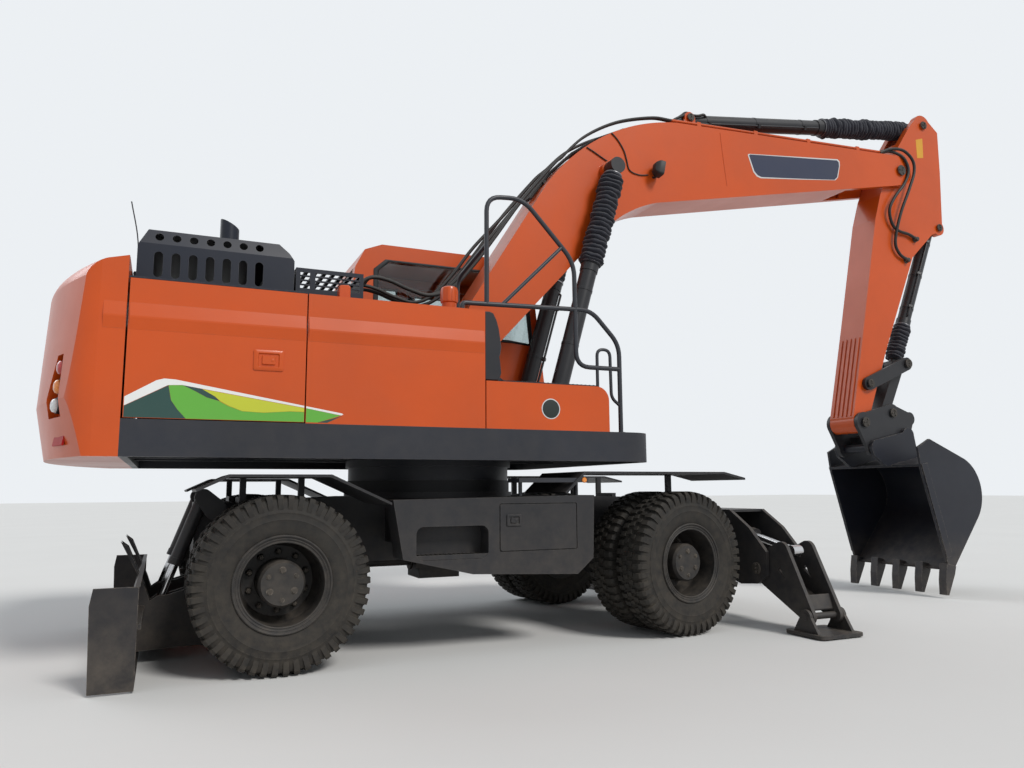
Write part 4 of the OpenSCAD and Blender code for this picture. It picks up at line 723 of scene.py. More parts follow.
# Aerial: a thin steel whip that bends back a little, in a moulded foot screwed on beside
# the hood, with a short coil spring above the foot.
def smooth_path(points, steps=8):
    """A smooth curve through the points, as a list of points."""
    points = [Vector(p) for p in points]
    ends = [points[0] * 2 - points[1]] + points + [points[-1] * 2 - points[-2]]
    path = []
    for i in range(1, len(ends) - 2):
        p0, p1, p2, p3 = ends[i - 1 : i + 3]
        for step in range(steps):
            t = step / steps
            path.append(0.5 * (2 * p1 + (p2 - p0) * t + (2 * p0 - 5 * p1 + 4 * p2 - p3) * t * t
                               + (3 * p1 - p0 - 3 * p2 + p3) * t * t * t))
    path.append(points[-1])
    return path


def build_tube(shape, path, radius, sides=12):
    """A closed tube of even thickness along a path, its rings carried on without twist."""
    rings, normal = [], None
    for i, at in enumerate(path):
        onward = (path[min(i + 1, len(path) - 1)] - path[max(i - 1, 0)]).normalized()
        if normal is None:
            normal = onward.orthogonal().normalized()
        normal = (normal - onward * normal.dot(onward)).normalized()
        across = onward.cross(normal)
        turns = [2 * math.pi * k / sides for k in range(sides)]
        rings.append([shape.verts.new(at + radius * (math.cos(a) * normal + math.sin(a) * across))
                      for a in turns])
    skin_over(shape, rings)


AERIAL_FOOT = (-2.232, 0.860, 2.4375)


def build_aerial(shape):
    x, y, z = AERIAL_FOOT
    foot = [(0.0, 0.022), (0.014, 0.022), (0.018, 0.010), (0.050, 0.010)]
    round_stack(shape, AERIAL_FOOT, (0, 0, 1), foot, 16)
    whip = [(x, y, z + 0.043), (x - 0.003, y, z + 0.300), (x - 0.020, y, z + 0.700),
            (x - 0.085, y, z + 1.030)]
    build_tube(shape, smooth_path(whip, 6), 0.0050, 8)
    for i in range(7):
        coil_at = (x - 0.0015, y, z + 0.051 + 0.006 * i)
        round_stack(shape, coil_at, (0, 0, 1), [(0.0, 0.008), (0.0035, 0.008)], 12)


fitted("aerial", build_aerial, "upper", moulded_black)


# Handrails: bent steel tube, welded into one frame: a walk rail, a high hoop with its
# slanting brace, a small grab loop and a stay across to the tank.
def bent(points, radius, steps=6):
    """The points with each inner corner turned into a bend of about the given radius."""
    path = [points[0]]
    for before, at, after in zip(points, points[1:], points[2:]):
        back, on = before - at, after - at
        reach = min(radius, 0.48 * back.length, 0.48 * on.length)
        start, end = at + back.normalized() * reach, at + on.normalized() * reach
        for step in range(steps + 1):
            t = step / steps
            path.append(start * (1 - t) ** 2 + at * 2 * t * (1 - t) + end * t * t)
    return path + [points[-1]]


RAIL_SIDE, TANK_TOP, DECK_TOP = -1.150, 2.296, 1.485
rails = [
    (0.017, 0.090, [(-0.140, RAIL_SIDE, TANK_TOP), (-0.140, RAIL_SIDE, 2.360), (0.880, RAIL_SIDE, 2.395),
                    (1.116, RAIL_SIDE, 2.151), (1.116, RAIL_SIDE, DECK_TOP)]),
    (0.017, 0.110, [(0.044, RAIL_SIDE, 2.366), (0.044, RAIL_SIDE, 3.152), (0.330, RAIL_SIDE, 3.177),
                    (0.744, RAIL_SIDE, 2.747), (0.750, RAIL_SIDE, 1.964), (1.116, RAIL_SIDE, 1.964)]),
    (0.014, 0.010, [(0.640, RAIL_SIDE, 2.846), (0.160, RAIL_SIDE, 2.370)]),
    (0.012, 0.060, [(0.925, RAIL_SIDE, 1.798), (0.925, RAIL_SIDE, 2.104), (1.035, RAIL_SIDE, 2.104),
                    (1.040, RAIL_SIDE, 1.745), (1.112, RAIL_SIDE, 1.690)]),
    (0.014, 0.080, [(-0.025, -0.750, TANK_TOP), (-0.025, -0.750, 2.640), (0.044, RAIL_SIDE, 2.800)]),
]
rail_tubes = fitted("handrail_tubes", lambda shape: [
    build_tube(shape, bent([Vector(p) for p in points], bend), radius, 16) for radius, bend, points in rails],
    "upper", rail_paint)
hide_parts("handrails")
RAIL_FEET = ((-0.140, RAIL_SIDE, TANK_TOP), (-0.025, -0.750, TANK_TOP), (1.116, RAIL_SIDE, DECK_TOP))
fitted("handrail_feet", lambda shape: [
    round_stack(shape, (x, y, z + 0.0003), (0, 0, 1), [(0.0, 0.034), (0.006, 0.034), (0.008, 0.030)], 24)
    for x, y, z in RAIL_FEET], "upper", rail_paint)


# Window seals: a black rubber profile pressed round each pane's edge, and a pull handle
# on the door.
def build_seal(shape, outline, y, hand, wide, thick):
    """A soft profile around a pane's edge, lying on a side plane."""
    section = ((-wide, 0.0), (-wide, thick * 0.6), (-wide * 0.3, thick), (wide * 0.5, thick),
               (wide, thick * 0.5), (wide, 0.0))
    rings = [[shape.verts.new((x, y + hand * out, z)) for x, z in grown(outline, away)]
             for away, out in section]
    skin_over(shape, rings, round_trip=True)


seal_rubber = weathered("seal_rubber", (0.010, 0.011, 0.013, 1.0), 0.55, dust=0.10, mud=0.0, wear=0.0,
                        peel=3.0)
SIDE_PANE = [(-0.380, 2.420), (0.880, 2.420), (1.090, 2.400), (1.040, 2.880), (0.960, 3.050), (-0.280, 3.050),
             (-0.380, 2.960)]
REAR_PANE = [(-0.430, 2.330), (0.060, 2.330), (0.060, 3.040), (-0.300, 3.040), (-0.430, 2.900)]
DOOR_PANE = [(0.230, 1.960), (1.060, 1.960), (0.950, 2.860), (0.890, 2.990), (0.230, 2.990)]
for name, outline, y, hand, body in (
    ("cab_seal_side", SIDE_PANE, 0.3297, -1, "upper"), ("cab_seal_rear", REAR_PANE, 1.2453, 1, "upper"),
    ("cab_seal_door", DOOR_PANE, 1.2453, 1, "cab_door"),
):
    fitted(name, lambda shape: build_seal(shape, outline, y, hand, 0.022, 0.010), body, seal_rubber)
PULL = [(1.000, 1.2452, 1.760), (1.000, 1.285, 1.768), (1.000, 1.290, 1.830), (1.000, 1.285, 1.892),
        (1.000, 1.2452, 1.900)]
fitted("cab_door_handle", lambda shape: build_tube(shape, smooth_path(PULL), 0.009), "cab_door",
       moulded_black)


# Side lockers: a hinged door in each locker's recess with a paddle latch, a grating in
# the step opening, and a grated upper step with an amber side marker.
def build_grating(shape, x0, x1, y0, y1, z, bars):
    """Two edge bars joined by thin cross bars."""
    for y in (y0 + 0.004, y1 - 0.004):
        add_block(shape, ((x0 + x1) / 2, y, z), (x1 - x0, 0.008, 0.030))
    for i in range(bars):
        x = x0 + 0.004 + (x1 - x0 - 0.008) * i / (bars - 1)
        add_block(shape, (x, (y0 + y1) / 2, z), (0.006, y1 - y0 - 0.018, 0.028))


def build_upper_step(shape, hand):
    build_grating(shape, 0.250, 0.790, *sorted((hand * 1.030, hand * 1.225)), 1.140, 18)
    for x in (0.300, 0.740):
        build_tube(shape, [Vector((x, hand * 1.130, z)) for z in (1.0320, 1.1260)], 0.014, 12)
        add_block(shape, (x, hand * 1.128, 1.1275), (0.030, 0.186, 0.006))


LOCKER_SIDE = 1.230
for hand, side_name in BOTH_SIDES:
    panel = rounded_outline(0.106, 0.684, 0.671, 0.979, 0.012, 3)
    depths = sorted((hand * (LOCKER_SIDE - 0.0075), hand * (LOCKER_SIDE + 0.003)))
    fitted("locker_door_" + side_name, lambda shape: drawn(shape, panel, *depths, 0.003), "chassis",
           chassis_paint)
    fitted("locker_latch_" + side_name,
           lambda shape: build_latch(shape, 0.205, 0.872, hand * (LOCKER_SIDE + 0.003), hand, 0.62),
           "chassis", chassis_paint)
    tread = sorted((hand * 1.085, hand * 1.226))
    fitted("locker_step_" + side_name,
           lambda shape: build_grating(shape, -0.470, 0.016, *tread, 0.6460, 16),
           "chassis", chassis_paint, smooth=False)
    fitted("upper_step_" + side_name, lambda shape: build_upper_step(shape, hand), "chassis", rail_paint)
    marker = [(0.0, 0.019), (0.008, 0.019), (0.013, 0.014)]
    fitted("side_marker_" + side_name,
           lambda shape: round_stack(shape, (0.753, hand * 1.2255, 1.140), (0, hand, 0), marker, 24),
           "chassis", lens_amber)

# Boom, arm and bucket linkage: welded box sections in the same orange enamel, with the
# bosses and pins left dark. The bucket is near-black, scoured at its lip and teeth.
dress(orange_enamel, "boom", "arm")
bucket_paint = weathered("bucket_paint", (0.012, 0.014, 0.022, 1.0), 0.42, dust=0.10, mud=0.30,
                         mud_height=0.65, wear=1.0, grain=10.0, reach=0.012, bare=(0.17, 0.15, 0.13, 1.0),
                         peel=2.0)
dress(bucket_paint, "bucket")
hose_rubber = weathered("hose_rubber", (0.016, 0.016, 0.017, 1.0), 0.5, dust=0.22, mud=0.15, wear=0.0,
                        peel=5.0, dents=0.0)
dress(hose_rubber, "boom_lines")

# Sleeves over the cylinder rods: black woven cloth sewn as a tube, clamped on the barrel
# and at the rod's eye, gathered in uneven ruffles between the two clamps.
sleeve_cloth, cloth_tree, cloth = new_finish("sleeve_cloth")
cloth_weave = patches(cloth_tree, place_on(cloth_tree), 420.0, 2.0)
cloth_dust = placed(cloth_tree, dust_group, Dust=0.22, Mud=0.0, Mud_Height=1.0, Grain=12.0)["Mask"]
cloth_tone = tint(cloth_tree, cloth_weave, (0.004, 0.005, 0.011, 1.0), (0.011, 0.013, 0.026, 1.0))
join(cloth_tree, tint(cloth_tree, cloth_dust, cloth_tone, (0.10, 0.09, 0.08, 1.0)), cloth["Base Color"])
join(cloth_tree, stretch(cloth_tree, cloth_weave, 0.3, 0.7, 0.66, 0.88), cloth["Roughness"])
cloth["Sheen Weight"].default_value = 0.12
cloth["Sheen Roughness"].default_value = 0.5
add_relief(cloth_tree, cloth, cloth_weave, 0.25, 0.002)
# Spacing of the ruffles, depth of a fold, how far the cloth sinks between folds, unevenness
RUFFLE, FOLD, SINK, UNEVEN = 0.042, 0.021, 0.006, 0.016


def build_sleeve(shape, foot, along, start, stop, barrel_radius, rod_radius, swell, seed):
    """A gathered tube along a line from its foot, from start to stop in metres along it."""
    dice = random.Random(seed)
    turn = along.to_track_quat("Z", "Y").to_matrix()
    length = stop - start
    ruffles = max(6, int(length / RUFFLE))
    steps, sides = ruffles * 6, 40
    pushes = [dice.uniform(0.75, 1.25) for _ in range(ruffles + 2)]
    rings = []
    for step in range(steps + 1):
        t = step / steps
        wave = t * ruffles
        push = pushes[int(wave)]
        fold = abs(math.sin(math.pi * wave)) ** 0.7
        base = barrel_radius + (rod_radius - barrel_radius) * max(0.0, (t - 0.90) / 0.10) ** 2
        hold = min(1.0, t / 0.03, (1.0 - t) / 0.03)
        ring = []
        for i in range(sides):
            a = 2 * math.pi * i / sides
            u, v = math.cos(a), math.sin(a)
            uneven = noise.noise(Vector((u * 1.3, v * 1.3, wave * 0.8 + seed)))
            slide = 0.008 * hold * noise.noise(Vector((u * 2.0 + 9, v * 2.0, wave * 0.5 + seed)))
            r = base + hold * swell * (FOLD * push * fold - SINK + UNEVEN * uneven)
            ring.append(shape.verts.new(foot + turn @ Vector((r * u, r * v, start + t * length + slide))))
        rings.append(ring)
    skin_over(shape, rings, capped=False)
    for ring, inner in ((rings[0], barrel_radius - 0.006), (rings[-1], rod_radius - 0.008)):
        collar = []
        for vert in ring:
            middle = foot + along * (vert.co - foot).dot(along)
            collar.append(shape.verts.new(middle + (vert.co - middle).normalized() * inner))
        skin_over(shape, [ring, collar], capped=False)
        shape.faces.new(collar)


def round_band(shape, centre, axis, inner, outer, width):
    """A flat hoop around an axis, open through its middle."""
    levels = [(0.0, inner), (0.0, outer - 0.001), (0.001, outer), (width - 0.001, outer),
              (width, outer - 0.001), (width, inner)]
    skin_over(shape, round_rings(shape, centre, axis, levels, 40), round_trip=True)


BOOM_SIDE, CYLINDER_OUT = -0.110, 0.338
# Each cylinder's line, from the pin at its foot to the pin in its rod's eye
cylinder_lines = {
    "boom_right": ((0.880, BOOM_SIDE - CYLINDER_OUT, 1.590), (1.560, BOOM_SIDE - CYLINDER_OUT, 3.905)),
    "boom_left": ((0.880, BOOM_SIDE + CYLINDER_OUT, 1.590), (1.560, BOOM_SIDE + CYLINDER_OUT, 3.905)),
    "arm": ((2.570, BOOM_SIDE, 4.668), (5.815, BOOM_SIDE, 5.190)),
    "bucket": ((5.950, BOOM_SIDE, 3.990), (5.230, BOOM_SIDE, 2.380)),
}


def cylinder_line(name):
    foot, rod_eye = (Vector(at) for at in cylinder_lines[name])
    return foot, rod_eye, (rod_eye - foot).normalized()


# Each sleeve is (name, cylinder, its barrel and rod, start from the foot, end short of the eye,
# radius on the barrel, radius at the rod's end, how full its ruffles are, node it replaces)
sleeves = [
    ("boom_sleeve_right", "boom_right", ("boom_barrels", "boom_rods"), 1.450, 0.075, 0.090, 0.078, 1.0,
     "boom_boots"),
    ("boom_sleeve_left", "boom_left", ("boom_barrels", "boom_rods"), 1.450, 0.075, 0.079, 0.068, 0.35,
     "boom_boots"),
    ("arm_sleeve", "arm", ("arm_barrel", "arm_rod"), 1.840, 0.085, 0.090, 0.076, 1.0, "arm_boot"),
    ("bucket_sleeve", "bucket", ("bucket_barrel", "bucket_rod"), 1.250, 0.080, 0.080, 0.064, 1.0,
     "bucket_boot"),
]
clip_steel = weathered("clip_steel", (0.30, 0.30, 0.31, 1.0), 0.35, metal=0.9, dust=0.2, mud=0.0, wear=0.0)
for number, (name, cylinder, pair, start, short, barrel_radius, rod_radius, swell, old) in enumerate(sleeves):
    foot, rod_eye, along = cylinder_line(cylinder)
    stop = (rod_eye - foot).length - short
    size = (start, stop, barrel_radius, rod_radius, swell, number)
    sleeve = fitted(name, lambda shape: build_sleeve(shape, foot, along, *size), None, sleeve_cloth)
    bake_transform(sleeve)
    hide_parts(old)
    for end, at, radius, body in (("barrel", start + 0.012, barrel_radius, pair[0]),
                                  ("rod", stop - 0.012, rod_radius, pair[1])):
        hoop = (along, radius - 0.004, radius + 0.0045, 0.012)
        fitted(f"{name}_{end}_band", lambda shape: round_band(shape, foot + along * (at - 0.006), *hoop),
               body, clip_steel)


# Pipes and hoses on the boom: steel pipes painted orange run along its upper edge in
# clamps; at the joint short hoses with crimped ends cross over to the arm.
BOOM_TOP = ((1.431, 4.471), (5.236, 4.710))


def on_boom_top(x, rise):
    (x0, z0), (x1, z1) = BOOM_TOP
    return z0 + (z1 - z0) * (x - x0) / (x1 - x0) + rise


PIPE_SIDES = (-0.313, -0.287, 0.067, 0.093)
CLAMPS = [(x, y) for x in (2.60, 3.30, 4.00, 4.70) for y in (-0.300, 0.080)]


def build_boom_pipes(shape):
    for y in PIPE_SIDES:
        line = [Vector((x, y, on_boom_top(x, 0.022))) for x in (2.28, 2.7, 3.2, 3.7, 4.2, 4.7, 5.06)]
        build_tube(shape, line, 0.012, 14)
    for x, y in CLAMPS:
        add_block(shape, (x, y, on_boom_top(x, 0.020)), (0.045, 0.050, 0.040))


fitted("boom_pipes", build_boom_pipes, "boom", orange_enamel)


def fitting(shape, at, direction, radius):
    """The crimped ferrule and nut at a hose's end."""
    at, direction = Vector(at), Vector(direction).normalized()
    ferrule = [(0.0, radius * 1.15), (0.004, radius * 1.25), (0.034, radius * 1.25), (0.038, radius)]
    round_stack(shape, at, direction, ferrule, 16)
    round_stack(shape, at - direction * 0.022, direction, [(0.0, radius * 1.30), (0.022, radius * 1.30)], 6)


def lay_hose(name, path, radius, sides, body=None, between=None):
    """A hose laid along a path, riding on one body; one laid between two bodies rides on neither and stays
    where it is laid.
    """
    hose = fitted(name, lambda shape: build_tube(shape, path, radius, sides), body, hose_rubber)
    if between:
        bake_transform(hose)


# Each hose is (name, points in metres from end to end)
ARM_HOSE_RADIUS = 0.016
arm_hoses = [
    ("arm_hose_outer",
     [(5.060, -0.313, 4.721), (5.215, -0.325, 4.780), (5.374, -0.345, 4.780), (5.500, -0.350, 4.690),
      (5.512, -0.350, 4.553), (5.424, -0.345, 4.350), (5.297, -0.325, 4.082), (5.216, -0.310, 3.846),
      (5.196, -0.300, 3.690), (5.262, -0.295, 3.590), (5.378, -0.290, 3.542)]),
    ("arm_hose_inner",
     [(5.060, -0.287, 4.721), (5.230, -0.300, 4.762), (5.370, -0.338, 4.700), (5.430, -0.345, 4.560),
      (5.359, -0.340, 4.401), (5.215, -0.325, 4.232), (5.130, -0.312, 4.078), (5.165, -0.300, 3.930),
      (5.260, -0.296, 3.860), (5.420, -0.292, 3.840), (5.540, -0.290, 3.800)]),
]
hose_starts = []
bend = ("boom", "arm", (5.46, -0.35, 4.62), (5.24, -0.31, 3.95))
for name, points in arm_hoses:
    path = smooth_path(points, 10)
    hose_starts.append((path[0], path[1] - path[0]))
    lay_hose(name, path, ARM_HOSE_RADIUS, 14, between=bend)
    port = (path[-1].x, BOOM_SIDE - 0.1545, path[-1].z)
    boss = [(0.0, 0.032), (0.008, 0.032), (0.010, 0.024), (0.044, 0.024), (0.050, 0.019)]
    fitted(name + "_end", lambda shape: [
        fitting(shape, path[-1], path[-2] - path[-1], ARM_HOSE_RADIUS),
        round_stack(shape, port, (0, -1, 0), boss, 24)], "arm", nut_steel)


def build_boom_fittings(shape):
    """The clamps' bolts and the ends of the hoses on the boom."""
    for x, y in CLAMPS:
        bolt = [(0.0, 0.011), (0.008, 0.011), (0.010, 0.008)]
        round_stack(shape, (x, y, on_boom_top(x, 0.039)), (0, 0, 1), bolt, 6)
    for at, direction in hose_starts:
        fitting(shape, at, direction, ARM_HOSE_RADIUS)


fitted("boom_fittings", build_boom_fittings, "boom", nut_steel)


# Name plate and labels: a dark blue plate with a pale rim on each side of the boom and
# yellow labels on the arm, all left blank.
def build_plate(shape, outline, face, hand, thick):
    """A flat plate from an (x, z) outline, standing out from a side plane."""
    skin_over(shape, [[shape.verts.new((x, y, z)) for x, z in outline] for y in (face, face + hand * thick)])


def shrunk(outline, share):
    cx = sum(x for x, z in outline) / len(outline)
    cz = sum(z for x, z in outline) / len(outline)
    return [(cx + (x - cx) * share[0], cz + (z - cz) * share[1]) for x, z in outline]


plate_blue = weathered("plate_blue", (0.012, 0.020, 0.055, 1.0), 0.35, coat=0.3, dust=0.12, mud=0.0,
                       wear=0.0, shade=0.1)
plate_rim = weathered("plate_rim", (0.62, 0.62, 0.62, 1.0), 0.4, dust=0.1, mud=0.0, wear=0.0, shade=0.1)
label_yellow = weathered("label_yellow", (0.72, 0.36, 0.03, 1.0), 0.5, dust=0.2, mud=0.0, wear=0.0, shade=0.2)
PLATE = [(3.180, 4.355), (3.195, 4.367), (4.390, 4.517), (4.416, 4.500), (4.418, 4.455), (4.380, 4.315),
         (4.340, 4.277), (3.922, 4.216), (3.330, 4.135), (3.280, 4.147), (3.240, 4.185)]
ARM_LABEL = [(5.690, 5.000), (5.800, 5.035), (5.790, 4.800), (5.690, 4.780)]
BOOM_HALF, ARM_HALF = 0.215, 0.155
for hand, side_name in BOTH_SIDES:
    face = BOOM_SIDE + hand * BOOM_HALF
    fitted("boom_plate_rim_" + side_name, lambda shape: build_plate(shape, PLATE, face, hand, 0.0015), "boom",
           plate_rim, smooth=False)
    fitted("boom_plate_" + side_name,
           lambda shape: build_plate(shape, shrunk(PLATE, (0.975, 0.92)), face + hand * 0.0015, hand, 0.001),
           "boom", plate_blue, smooth=False)
for hand, side_name in BOTH_SIDES:
    fitted("arm_label_" + side_name,
           lambda shape: build_plate(shape, ARM_LABEL, BOOM_SIDE + hand * ARM_HALF, hand, 0.0008),
           "arm", label_yellow, smooth=False)


# Work lamps: a square black plastic housing with a clear fluted lens on a bent bracket at
# each side of the boom, fed by a thin cable from the lines on top of the neck.
def build_lamp_part(shape, centre, facing, size, levels, corner):
    """Rounded squares stacked along the facing direction, as (share of depth, share of width)."""
    width, height, depth = size
    turn = Vector(facing).to_track_quat("Z", "Y").to_matrix()
    rings = []
    for share, scale in levels:
        half_x, half_y = width / 2 * scale, height / 2 * scale
        outline = rounded_outline(-half_x, half_x, -half_y, half_y, corner * min(width, height) * scale)
        rings.append([shape.verts.new(Vector(centre) + turn @ Vector((x, y, share * depth)))
                      for x, y in outline])
    skin_over(shape, rings)


lamp_plastic = weathered("lamp_plastic", (0.020, 0.020, 0.022, 1.0), 0.5, dust=0.25, mud=0.0, wear=0.3)
lens_glass, lens_tree, lens_shader = new_finish("lens_glass")
flute_wave = {"Vector": place_on(lens_tree), "Scale": 60.0}
flutes = lay_node(lens_tree, "ShaderNodeTexWave", flute_wave).outputs["Fac"]
join(lens_tree, tint(lens_tree, flutes, (0.50, 0.52, 0.54, 1.0), (0.80, 0.82, 0.84, 1.0)),
     lens_shader["Base Color"])
lens_shader["Roughness"].default_value = 0.12
lens_shader["Coat Weight"].default_value = 0.6
add_relief(lens_tree, lens_shader, flutes, 0.3, 0.002)
HOUSING = [(0.0, 0.55), (0.10, 0.72), (0.35, 0.92), (0.55, 1.0), (1.0, 1.0), (1.0, 0.90), (0.93, 0.88)]
LAMP_GLASS = [(0.90, 0.86), (0.955, 0.86), (0.985, 0.70), (0.995, 0.40)]
LAMP_SIZE = (0.115, 0.135, 0.085)
# Each lead's (x, z) points on the boom's side, from the top line to where it goes in
lead_routes = (
    [(1.345, 4.100), (1.400, 4.078), (1.483, 4.038), (1.565, 4.000)],
    [(1.607, 4.285), (1.670, 4.230), (1.732, 4.141), (1.760, 4.055), (1.790, 3.960), (1.884, 3.932),
     (1.988, 3.945)],
)
for hand, side_name in BOTH_SIDES:
    face = BOOM_SIDE + hand * BOOM_HALF
    name = "boom_lamp_" + side_name
    at, facing = (2.010, face + hand * 0.075, 4.000), (0.97, hand * 0.10, -0.20)
    fitted(name, lambda shape: build_lamp_part(shape, at, facing, LAMP_SIZE, HOUSING, 0.16), "boom",
           lamp_plastic)
    fitted(name + "_lens", lambda shape: build_lamp_part(shape, at, facing, LAMP_SIZE, LAMP_GLASS, 0.14),
           "boom", lens_glass)
    bracket = smooth_path([(2.050, face - hand * 0.004, 3.935), (2.050, face + hand * 0.040, 3.925),
                           (2.045, face + hand * 0.070, 3.945)], 6)
    fitted("boom_lamp_bracket_" + side_name, lambda shape: build_tube(shape, bracket, 0.010), "boom",
           lamp_plastic)
    for number, route in enumerate(lead_routes):
        wire = smooth_path([(x, face + hand * 0.007, z) for x, z in route])
        lay_hose(f"boom_lead_{side_name}_{number}", wire, 0.006, 8, body="boom")


# Pins: turned steel pins, held at both ends by a round keeper plate with its bolts and a
# grease nipple in the middle, left dark.
def build_keeper(shape, at, direction, radius, bolts):
    direction = Vector(direction)
    turn = direction.to_track_quat("Z", "Y").to_matrix()
    round_stack(shape, at, direction, [(0.0, radius), (0.009, radius), (0.012, radius - 0.003)], 36)
    for i in range(bolts):
        a = 2 * math.pi * (i + 0.5) / bolts
        spot = Vector(at) + turn @ Vector((0.62 * radius * math.cos(a), 0.62 * radius * math.sin(a), 0.0))
        round_stack(shape, spot + direction * 0.0115, direction,
                    [(0.0, 0.0090), (0.0080, 0.0090), (0.0095, 0.0070)], 6)
    round_stack(shape, Vector(at) + direction * 0.0115, direction,
                [(0.0, 0.0055), (0.0060, 0.0055), (0.0120, 0.0032)], 10)


# Each pin is (name, body, x, z, right end and left end in y, keeper radius, bolts)
pins = [
    ("boom_foot", "upper", 0.250, 1.950, -0.371, 0.151, 0.058, 3),
    ("boom_cylinder_foot", "upper", 0.880, 1.590, -0.512, 0.292, 0.044, 2),
    ("boom_tip", "boom", 5.325, 4.545, -0.339, 0.119, 0.058, 3),
    ("arm_cylinder_foot", "boom", 2.570, 4.668, -0.238, 0.018, 0.040, 2),
    ("arm_cylinder_eye", "arm", 5.815, 5.190, -0.279, 0.059, 0.046, 3),
    ("bucket_cylinder_foot", "arm", 5.950, 3.990, -0.277, 0.057, 0.042, 2),
    ("lever", "levers", 4.660, 2.140, -0.321, 0.101, 0.042, 2),
    ("lever_tip", "levers", 5.230, 2.380, -0.321, 0.101, 0.048, 2),
    ("arm_tip", "bucket", 4.545, 1.735, -0.327, 0.107, 0.050, 3),
    ("link", "bucket", 4.950, 1.842, -0.323, 0.103, 0.046, 3),
    ("blade_pivot", "chassis", -1.560, 0.430, -0.484, 0.484, 0.050, 3),
]
for name, body, x, z, right_end, left_end, radius, bolts in pins:
    fitted("keeper_" + name, lambda shape: [
        build_keeper(shape, (x, end, z), (0, side, 0), radius, bolts)
        for end, side in ((right_end, -1), (left_end, 1))],
        body, nut_steel)
fitted("keeper_legs", lambda shape: [
    build_keeper(shape, (2.540 + end * 0.190, hand * 1.130, 0.450), (end, 0, 0), 0.046, 2)
    for hand in (-1, 1) for end in (-1, 1)], "chassis", nut_steel)


# Boom hoses: four wire-wound hoses rise from the valve block behind the boom foot, stand
# off its back and reach the neck, where thinner pipes in the same black run on to the boom's top.
def build_valve(shape):
    drawn(shape, [(-0.790, 1.560), (-0.790, 1.900), (-0.560, 1.900), (-0.560, 1.620)], -0.345, 0.125, 0.010)
    for i in range(6):
        round_stack(shape, (-0.555, -0.300 + 0.076 * i, 1.760), (1, 0, 0),
                    [(0.0, 0.030), (0.050, 0.030), (0.060, 0.024)], 18)


fitted("valve_block", build_valve, "upper", casting_paint)
# The hoses' common line from the valve block to the neck in (x, z), and for each hose its
# place in y, how far forward it rises, its layer on the bend and how far it leans aside
HOSE_LINE = [(-0.684, 1.905), (-0.690, 2.250), (-0.690, 2.545), (-0.645, 2.660), (-0.560, 2.708),
             (-0.430, 2.695), (-0.270, 2.640), (-0.100, 2.610), (0.085, 2.690), (0.270, 2.900),
             (0.452, 3.150), (0.708, 3.515), (1.010, 3.885), (1.110, 3.985)]
hose_beds = zip(PIPE_SIDES, (0.0, 0.022, 0.022, 0.0), (0, 1, 2, 0), (0.0, 0.010, -0.010, 0.0))
for number, (y, forward, layer, lean) in enumerate(hose_beds, 1):
    points = []
    for i, (x, z) in enumerate(HOSE_LINE):
        lift = layer if 3 < i < 11 else 0
        points.append((x + (forward if i < 8 else 0.0) - 0.020 * lift, y + (lean if i < 12 else 0.0),
                       z + 0.012 * lift))
    path = smooth_path(points)
    name = f"boom_hose_{number}"
    lay_hose(name, path, 0.015, 14, between=("upper", "boom", (-0.100, y, 2.610), (0.860, y, 3.700)))
    fitted(name + "_foot", lambda shape: fitting(shape, path[0], path[1] - path[0], 0.015), "upper",
           nut_steel)
    neck = smooth_path([(1.110, y, 3.985), (1.345, y, 4.215), (1.675, y, 4.410), (2.057, y, 4.530),
                        (2.290, y, on_boom_top(2.29, 0.022))], 10)
    fitted(f"neck_pipe_{number}", lambda shape: [
        build_tube(shape, neck, 0.012, 14), fitting(shape, neck[0], (-0.71, 0.0, -0.70), 0.0125)],
        "boom", hose_rubber)

# Arm cylinder's feed: two short rubber hoses loop from the boom's top to the barrel's ports.
for number, (y, reach) in enumerate(((-0.205, 2.800), (-0.015, 2.960)), 1):
    path = smooth_path([(2.300, y, on_boom_top(2.30, 0.026)), (2.420, y, 4.640), (2.545, y, 4.700),
                        (2.680, y, 4.720), (reach - 0.05, y, 4.745), (reach, y * 0.72 - 0.03, 4.745)])
    lay_hose(f"feed_hose_{number}", path, 0.013, 12, between=("boom", "arm_barrel", path[0], path[-1]))


# Feed pipes: a bent steel pipe runs along each barrel from its foot to the far port, held
# by three bands with welded clamp blocks.
def build_feed(shape, cylinder, radius, aside, far):
    foot, _, along = cylinder_line(cylinder)
    side = Vector(aside)
    side = (side - along * side.dot(along)).normalized()
    off = side * (radius + 0.016)
    route = [foot + along * 0.130 + side * radius * 0.9, foot + along * 0.135 + off,
             foot + along * (far - 0.040) + off, foot + along * (far - 0.035) + side * radius * 0.9]
    build_tube(shape, bent(route, 0.030), 0.0105)
    turn = Matrix((side, along.cross(side), along)).transposed().to_4x4()
    for share in (0.14, 0.50, 0.86):
        at = foot + along * (far * share)
        round_band(shape, at, along, radius - 0.002, radius + 0.003, 0.024)
        add_block(shape, at + along * 0.012 + off, (0.030, 0.040, 0.026), turn)


# Each barrel is (cylinder, body, radius, side of the pipe, length)
barrels = [
    ("arm", "arm_barrel", 0.076, (0.0, -0.9, -0.45), 1.770),
    ("bucket", "bucket_barrel", 0.068, (-0.45, -0.9, 0.0), 1.190),
    ("boom_right", "boom_barrels", 0.072, (0.8, 0.6, 0.0), 1.390),
    ("boom_left", "boom_barrels", 0.072, (0.8, -0.6, 0.0), 1.390),
]
for cylinder, body, radius, aside, far in barrels:
    fitted("feed_pipe_" + cylinder, lambda shape: build_feed(shape, cylinder, radius, aside, far), body,
           barrel_paint)

